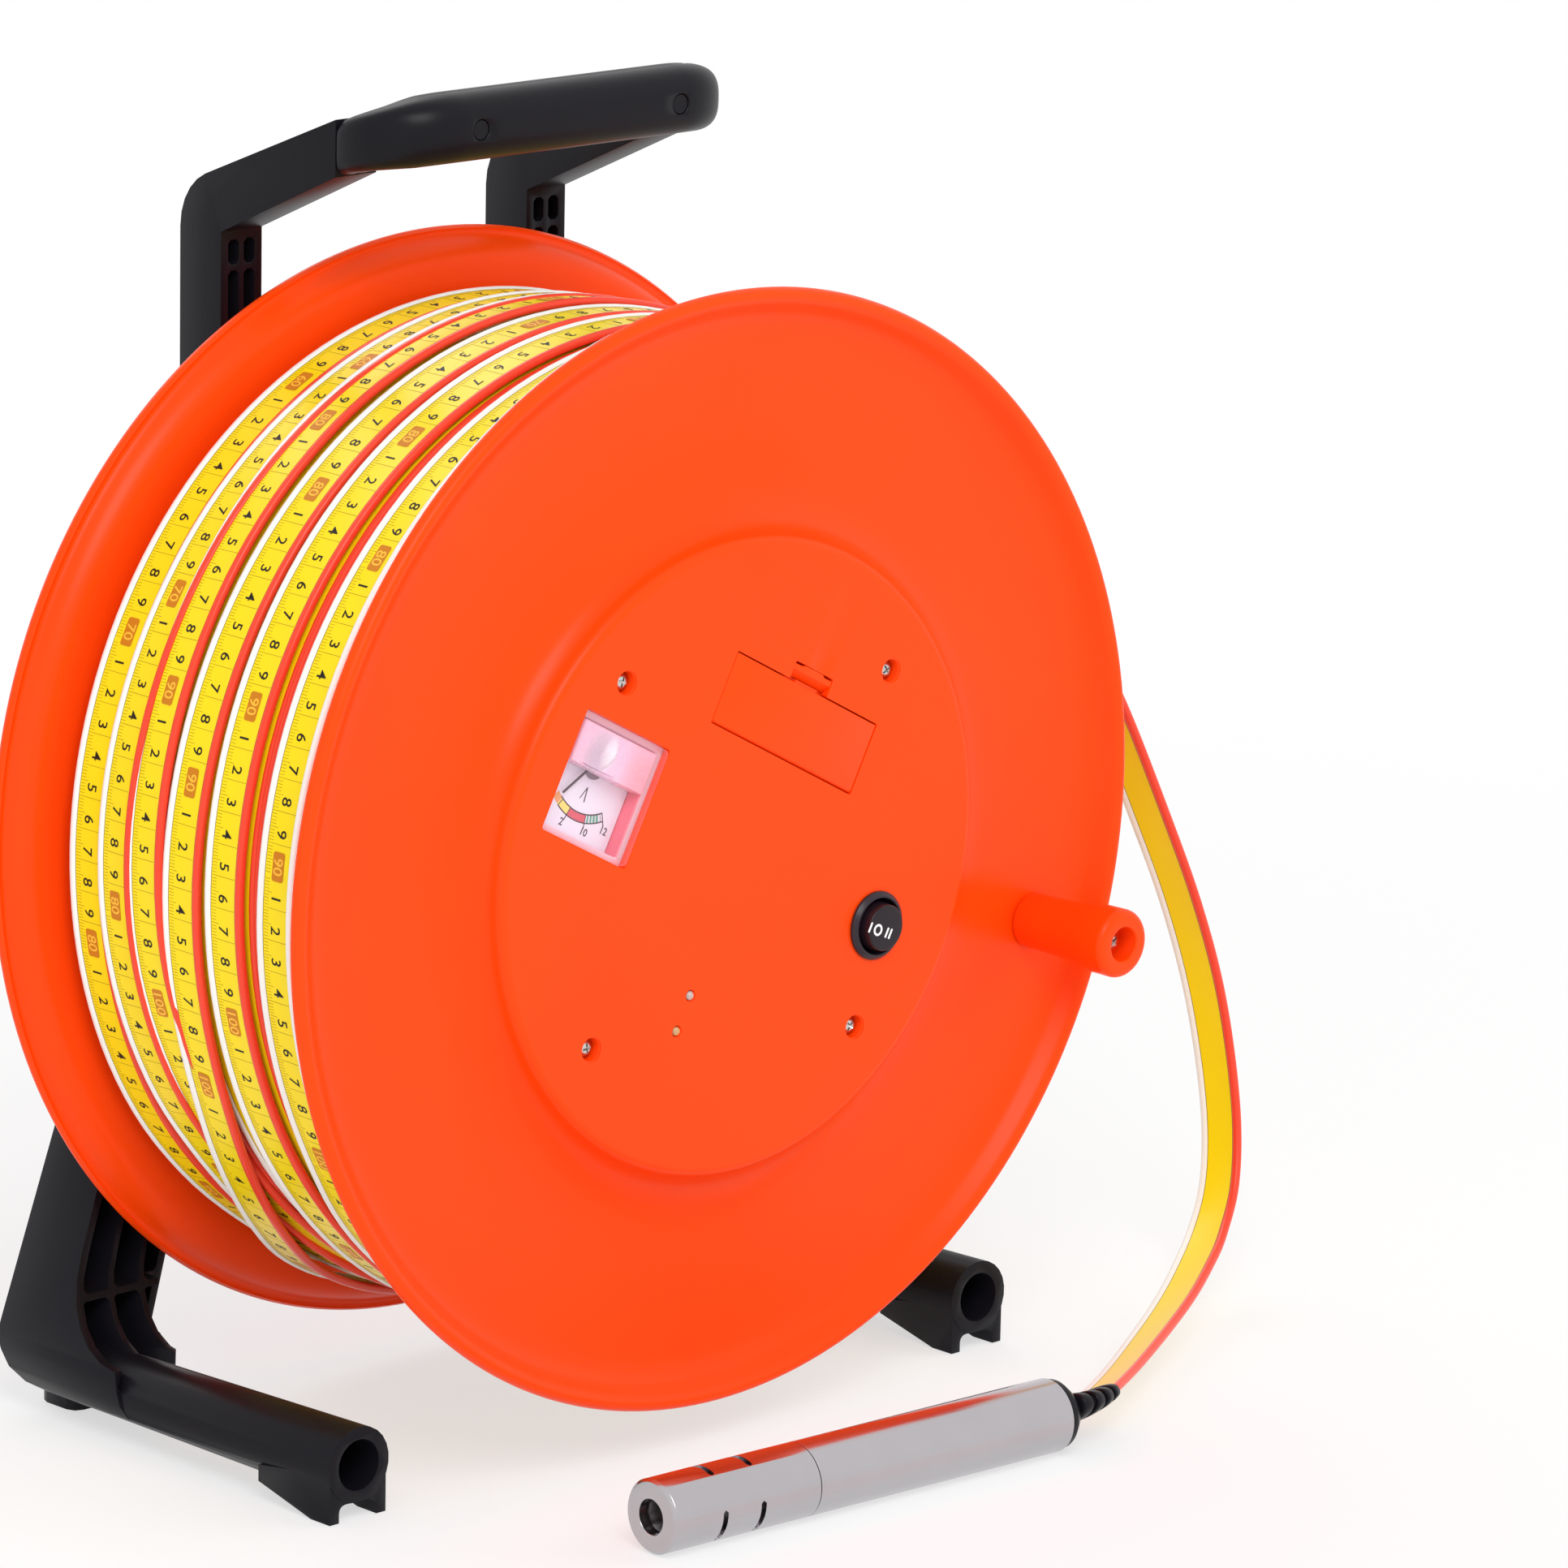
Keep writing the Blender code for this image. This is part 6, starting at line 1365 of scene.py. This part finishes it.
def meter_housing():
    """The case, with the wall that the light reaches painted in its own redder tone as painted light."""
    housing = square_shell("meter_housing", [
        (17.6, 52.1, 0.4), (17.6, 75.3, 0.4), (18.0, 75.7, 0.8), (21.3, 75.7, 1.5), (21.5, 75.5, 1.6),
        (21.5, 73.7, 1.6), (19.0, 73.7, 0.8), (19.0, 50.7, 0.8)], [case_pink, lit_wall_red])
    back = panel_place.inverted()
    # The right inner wall, which the light reaches, takes the painted lit tone.
    for face in housing.data.polygons:
        middle = back @ face.center
        if abs(middle.x - METER_AT - CASE_ROOM) < 0.3 * MM and abs(middle.y) < 15 * MM:
            face.material_index = 1
    return housing


def hood_rise(x, y):
    """Front of the frosted cover at a point measured from the meter's middle, in millimetres."""
    rise = 77.3
    dip = max(0.0, 1 - ((x + 6.0) / 9.0) ** 2 - ((y - 4.0) / 8.5) ** 2)
    rise -= 0.9 * dip ** 1.5
    if y < 4.6:
        rise -= 0.7 * max(0.0, 1 - ((y - 4.3) / 0.32) ** 2) * max(0.0, 1 - ((x + 4.5) / 8.5) ** 4)
        rise += 0.25 * max(0.0, 1 - ((y - 3.75) / 0.3) ** 2)
    along, across = y - 10.2, x + 2.4 - 0.13 * (y - 10.2)
    half = 2.7 * (1 - (along / 5.4) ** 2)
    if half > 0:
        side = across / half
        if abs(side) < 1:
            rise += 1.5 * (1 - abs(side) ** 2.2) * (half / 2.7) ** 0.7
    edge = min(17.2 - abs(x), 17.2 - y, y - 3.5)
    if edge < 0.8:
        rise -= 0.8 - sqrt(max(0.0, 0.64 - (0.8 - edge) ** 2))
    return min(rise, 78.5)


def meter_hood():
    """The frosted cover: a dished skin with a lip over the dial and a raised bulge, closed by a flat foot
    above the dial.
    """
    bm = bmesh.new()
    columns = [-17.2 + 34.4 * k / 88 for k in range(89)]
    rows = [3.5 + 13.7 * k / 62 for k in range(63)]
    top = [[bm.verts.new(((METER_AT + x * MM), y * MM, hood_rise(x, y) * MM)) for x in columns] for y in rows]
    for here, there in zip(top, top[1:]):
        for k in range(len(columns) - 1):
            bm.faces.new((here[k], here[k + 1], there[k + 1], there[k]))
    rim = top[0] + [row[-1] for row in top[1:]] + list(reversed(top[-1][:-1]))
    rim += [row[0] for row in reversed(top[1:-1])]
    foot = [bm.verts.new((v.co.x, v.co.y, 70.8 * MM)) for v in rim]
    count = len(rim)
    for k in range(count):
        n = (k + 1) % count
        bm.faces.new((rim[n], rim[k], foot[k], foot[n]))
    bm.faces.new(foot)
    return from_bmesh("meter_hood", bm, frosted_cover(), panel_place, 50)


def arc_band(name, low, high, start, end, mat, lift, at=(METER_AT, METER_PIVOT)):
    """A flat ring sector on the dial, between two radii and two angles in degrees."""
    count = max(2, int(abs(end - start) / 1.5))
    angles = [radians(start + (end - start) * k / count) for k in range(count + 1)]
    outline = [(at[0] + low * MM * cos(a), at[1] + low * MM * sin(a)) for a in angles]
    outline += [(at[0] + high * MM * cos(a), at[1] + high * MM * sin(a)) for a in reversed(angles)]
    rise = DIAL_FRONT + lift * MM
    return plate(name, [outline], rise, rise + PRINT_THICK, mat, panel_place)


def dial_stroke(name, start, end, width, lift=0.05):
    """A printed line from start to end, in millimetres from the meter's middle."""
    a, b = Vector(start), Vector(end)
    side = (b - a).normalized().orthogonal() * width / 2
    outline = [((METER_AT + p.x * MM), p.y * MM) for p in (a - side, b - side, b + side, a + side)]
    rise = DIAL_FRONT + lift * MM
    return plate(name, [outline], rise, rise + PRINT_THICK, dial_line, panel_place)


def dial_scale():
    """Battery scale: coloured fields, their outline, three ticks with numbers, and an open triangle."""
    low, high = 18.2, 20.9
    fields = [(-126, -117, dial_tan), (-117, -101, dial_yellow), (-101, -77.6, dial_red)]
    pieces = [arc_band(f"field_{k}", low, high, start, end, mat, 0.02)
              for k, (start, end, mat) in enumerate(fields)]
    for k, (start, end) in enumerate(((-75.6, -73.4), (-71.8, -69.4), (-68.0, -65.4), (-64.2, -61.4))):
        pieces.append(arc_band(f"stripe_{k}", low, high, start, end, dial_green, 0.02))
    pieces.append(arc_band("scale_inner_line", low - 0.22, low + 0.22, -119, -55.6, dial_line, 0.05))
    pieces.append(arc_band("scale_outer_line", high - 0.2, high + 0.2, -115.5, -55.6, dial_line, 0.05))
    for k, angle in enumerate((-115.2, -101, -77.6, -58.8, -56)):
        wide = 0.25 if k == 3 else 0.5
        reach = high + (1.9 if k in (1, 2, 4) else 0)
        pieces.append(arc_band(f"tick_{k}", low, reach, angle - wide, angle + wide, dial_line, 0.05))
    for text, x, y in (("2", -5.1, -14.0), ("10", 5.5, -13.9), ("12", 13.4, -10.9)):
        mark = glyph(text, 2.4 * MM, dial_line, 0.05 * MM)
        spot = (METER_AT + x * MM, y * MM, DIAL_FRONT + 0.05 * MM)
        mark.data.transform(panel_place @ Matrix.Translation(spot))
        pieces.append(mark)
    pieces.append(dial_stroke("mark_left", (0.4, -0.9), (-1.2, -5.0), 0.34))
    pieces.append(dial_stroke("mark_right", (0.4, -0.9), (1.1, -5.6), 0.44))
    return join_pieces("dial_scale", pieces)


def movement_boss():
    rise = DIAL_FRONT + 0.06 * MM
    return turned("movement_boss", filleted([(0, rise + 0.45 * MM), (4.6 * MM, rise + 0.45 * MM, 0.3 * MM),
                                             (4.6 * MM, rise), (0, rise)], 3), movement_grey, panel_place, 64,
                  (METER_AT, 6.4 * MM))


finish_piece(meter_window(), "drum", "clear_plastic", "meter_lens")
finish_piece(meter_housing(), "drum", "black_plastic", "meter_case")
finish_piece(meter_hood(), "drum", "clear_plastic", "meter_cover")
finish_piece(dial_scale(), "drum", "dial_white")
finish_piece(movement_boss(), "drum", "black_plastic")
dress(dial_white, "meter_dial")
dress(dial_line, "meter_needle")


# Switch

SWITCH_AT = (67 * MM, 0)
ROCKER_FRONT = 84.3 * MM


def switch():
    """Round bezel and domed rocker, with its marks."""
    seat, top, cup, end = PANEL_FRONT + GAP, 81.3 * MM, 72.3 * MM, 59.3 * MM
    bezel = turned("switch_ring", filleted([
        (0, cup), (9.2 * MM, cup), (9.2 * MM, top, 0.35 * MM), (9.9 * MM, top, 0.5 * MM),
        (11.2 * MM, seat + 0.75 * MM, 0.4 * MM), (11.2 * MM, seat), (9.9 * MM, seat), (9.9 * MM, end),
        (0, end)], 5), switch_plastic, panel_place, 128, SWITCH_AT)
    tabs = [plate(f"terminal_{k}", [rectangle(0.5 * MM, 2.4 * MM, (SWITCH_AT[0] + shift * MM, 0))],
                  end - 7 * MM, end + 1 * MM, zinc_steel, panel_place) for k, shift in enumerate((-5, 0, 5))]
    face = [(7.5 * MM * k / 8, ROCKER_FRONT - 0.12 * MM * (k / 8) ** 2) for k in range(8)]
    rocker = turned("rocker_cap", filleted(face + [
        (7.5 * MM, ROCKER_FRONT - 0.15 * MM, 0.55 * MM), (8.0 * MM, 78.7 * MM, 6 * MM),
        (8.0 * MM, 74.9 * MM, 0.8 * MM), (6.4 * MM, 74.1 * MM), (0, 74.1 * MM)], 6),
        rocker_plastic, panel_place, 128, SWITCH_AT)
    tilt = Matrix.Translation((*SWITCH_AT, ROCKER_FRONT - 0.02 * MM))
    bar = rounded(rectangle(0.40 * MM, 1.75 * MM), 0.36 * MM, 4)
    ring_out, ring_in = ([(wide * MM * cos(a), high * MM * sin(a)) for a in (pi * k / 20 for k in range(40))]
                         for wide, high in ((1.95, 1.95), (1.15, 1.2)))
    marks = []
    for name, x, y, loops in (("one", -7.05, -2.1, [bar]), ("nought", -3.4, -1.75, [ring_out, ring_in]),
                              ("two_left", 0.85, -1.25, [bar]), ("two_right", 2.5, -1.1, [bar])):
        mark = plate("mark_" + name, loops, 0, 0.04 * MM, print_white)
        mark.data.transform(panel_place @ tilt @ Matrix.Translation((x * MM, y * MM, 0)))
        marks.append(mark)
    return join_pieces("switch_body", [bezel] + tabs), rocker, join_pieces("switch_marks", marks)


switch_ring, rocker_cap, switch_marks = switch()
finish_piece(switch_ring, "drum", "black_plastic", "switch_bezel")
finish_piece(rocker_cap, "rocker", "black_plastic", "switch_rocker")
finish_piece(switch_marks, "rocker", "black_plastic")


# Battery door and its finger recess

def run_along_x(name, section, spans, mat):
    """A bar along the panel's x: section gives its (y, front) points from what each span says after x."""
    rings = [[Vector((x * MM, y * MM, z * MM)) for y, z in section(*shape)] for x, *shape in spans]
    return loft(name, rings, mat, panel_place, 30)


def battery_door():
    low, high, front, thick = 34.0, 57.4, 78.9, 2.2
    axis_y, axis_z = low + thick / 2, front - thick / 2

    def section(inset):
        hinge = [(axis_y + (thick / 2 - inset) * cos(a), axis_z + (thick / 2 - inset) * sin(a))
                 for a in (pi / 2 + pi * k / 8 for k in range(9))]
        rest = filleted([(axis_y, axis_z - thick / 2 + inset), (high - inset, front - thick + inset, 0.25),
                         (high - inset, front - inset, 0.45), (axis_y, front - inset)], 4)[1:-1]
        return hinge + rest

    half = DOOR_HALF[0] / MM
    ends = ((half, 0.22), (half - 0.07, 0.07), (half - 0.25, 0))
    spans = [(-x, inset) for x, inset in ends] + list(reversed(ends))
    leaf = run_along_x("battery_door_leaf", section, spans, orange_plastic)
    lip = plate("door_lip", [rounded(rectangle(5.4 * MM, 0.9 * MM, (0, 57.6 * MM)), 0.3 * MM, 3)], 76.7 * MM,
                77.7 * MM, orange_plastic, panel_place)
    return join_pieces("battery_door_leaf", [leaf, lip])


def finger_recess():
    """The slope above the door's edge and the bar over it, which stands free at both ends."""
    def section(inset, top):
        return [(58.9, 75.9), (58.9, 76.3)] + filleted([
            (58.9, 76.3), (61.3, 78.85 - inset, 0.5), (top, 78.85 - inset, 0.3), (top, 75.9)], 3)[1:]

    ends = ((9.2, 0.3, 63.0), (8.95, 0, 63.0), (5.2, 0, 63.1), (4.4, 0, 63.7))
    spans = [(-x, inset, top) for x, inset, top in ends] + list(reversed(ends))
    return run_along_x("finger_recess", section, spans, orange_plastic)


finish_piece(battery_door(), "door", "orange_plastic", "battery_door")
finish_piece(finger_recess(), "drum", "orange_plastic")


# Lamps

def lamp(name, rise, shell, cup):
    """A lamp's clear dome with the reflector cup in it."""
    tip = 79.7
    dome = turned(name + "_dome", filleted([(0, tip * MM)] + [
        (1.5 * MM * sin(a), (tip - 1.5 + 1.5 * cos(a)) * MM) for a in (pi / 16 * k for k in range(1, 8))] + [
        (1.5 * MM, 74.6 * MM), (1.9 * MM, 74.6 * MM), (1.9 * MM, 66.3 * MM), (0, 66.3 * MM)], 2),
        shell, panel_place, 40, (0, rise))
    inside = turned(name + "_cup", [(0, 77.0 * MM), (0.35 * MM, 77.0 * MM), (0.9 * MM, 78.3 * MM),
                                    (1.1 * MM, 78.3 * MM), (0.9 * MM, 76.2 * MM), (0.9 * MM, 67 * MM),
                                    (0, 67 * MM)], cup, panel_place, 24, (0, rise))
    return join_pieces(name + "_lens", [dome, inside])


for name, rise, shell, slot in (("led_upper", -46.4, lamp_clear, "led_white"),
                                ("led_lower", -58.4, lamp_amber, "led_amber")):
    finish_piece(lamp(name, rise * MM, shell, zinc_steel), "drum", slot, name)


# Stage and light

def background_rays(tree):
    """1 for what the camera sees straight, in a reflection or through glass."""
    rays = tree.nodes.new("ShaderNodeLightPath").outputs
    mirrored = math(tree, 'MAXIMUM', rays["Is Glossy Ray"], rays["Is Transmission Ray"])
    return math(tree, 'MAXIMUM', rays["Is Camera Ray"], mirrored)


def stage():
    """A white floor that keeps the shadow near the object and goes over into the white world further out."""
    mat, tree, shader, vector = start_material("floor_white")
    set_plain(shader, Base_Color=(0.93, 0.93, 0.93, 1), Roughness=0.9, Specular_IOR_Level=0.1)
    far = put(tree, "ShaderNodeVectorMath", {0: vector}, operation='LENGTH')
    blend = put(tree, "ShaderNodeMapRange", {"Value": far.outputs["Value"]}, interpolation_type='SMOOTHSTEP')
    for name, value in (("From Min", 0.35), ("From Max", 1.2), ("To Min", 0.62), ("To Max", 1.0)):
        blend.inputs[name].default_value = value
    glow = put(tree, "ShaderNodeEmission", Color=(1, 1, 1, 1), Strength=1.0)
    both = tree.nodes.new("ShaderNodeMixShader")
    tree.links.new(math(tree, 'MULTIPLY', background_rays(tree), blend.outputs[0]), both.inputs[0])
    tree.links.new(shader.outputs[0], both.inputs[1])
    tree.links.new(glow.outputs[0], both.inputs[2])
    tree.links.new(both.outputs[0], tree.nodes["Material Output"].inputs["Surface"])
    bm = bmesh.new()
    bmesh.ops.create_grid(bm, x_segments=8, y_segments=8, size=6.0)
    from_bmesh("floor", bm, mat, Matrix.Translation((0, 0, -0.0003)), turn_normals=False)


def light(name, place, aim, size, power, mirrored=True):
    """A flat lamp. mirrored=False keeps its own image out of shiny surfaces."""
    data = bpy.data.lights.new(name, 'AREA')
    data.shape = 'RECTANGLE'
    data.size, data.size_y = size
    data.energy = power
    source = bpy.data.objects.new(name, data)
    source.location = place
    source.rotation_euler = (Vector(aim) - Vector(place)).to_track_quat('-Z', 'Y').to_euler()
    source.visible_glossy = mirrored
    bpy.context.scene.collection.objects.link(source)


def surroundings():
    world = bpy.data.worlds.new("studio")
    bpy.context.scene.world = world
    world.use_nodes = True
    tree = world.node_tree
    tree.nodes["Background"].inputs["Color"].default_value = (1, 1, 1, 1)
    strength = math(tree, 'MULTIPLY_ADD', background_rays(tree), 0.40)
    strength.node.inputs[2].default_value = 0.60
    tree.links.new(strength, tree.nodes["Background"].inputs["Strength"])


stage()
surroundings()
light("key", (-1.1, -1.6, 1.9), (0, 0, 0.2), (1.2, 1.2), 28)
light("fill", (1.5, -1.3, 1.0), (0, 0, 0.2), (1.4, 1.4), 12, mirrored=False)
light("side", (-1.9, -0.9, 0.3), (0, 0, 0.15), (1.0, 1.0), 6, mirrored=False)
light("back", (0.4, 1.6, 1.8), (0, 0, 0.2), (1.4, 1.0), 10)

bpy.context.scene.view_settings.view_transform = 'Standard'
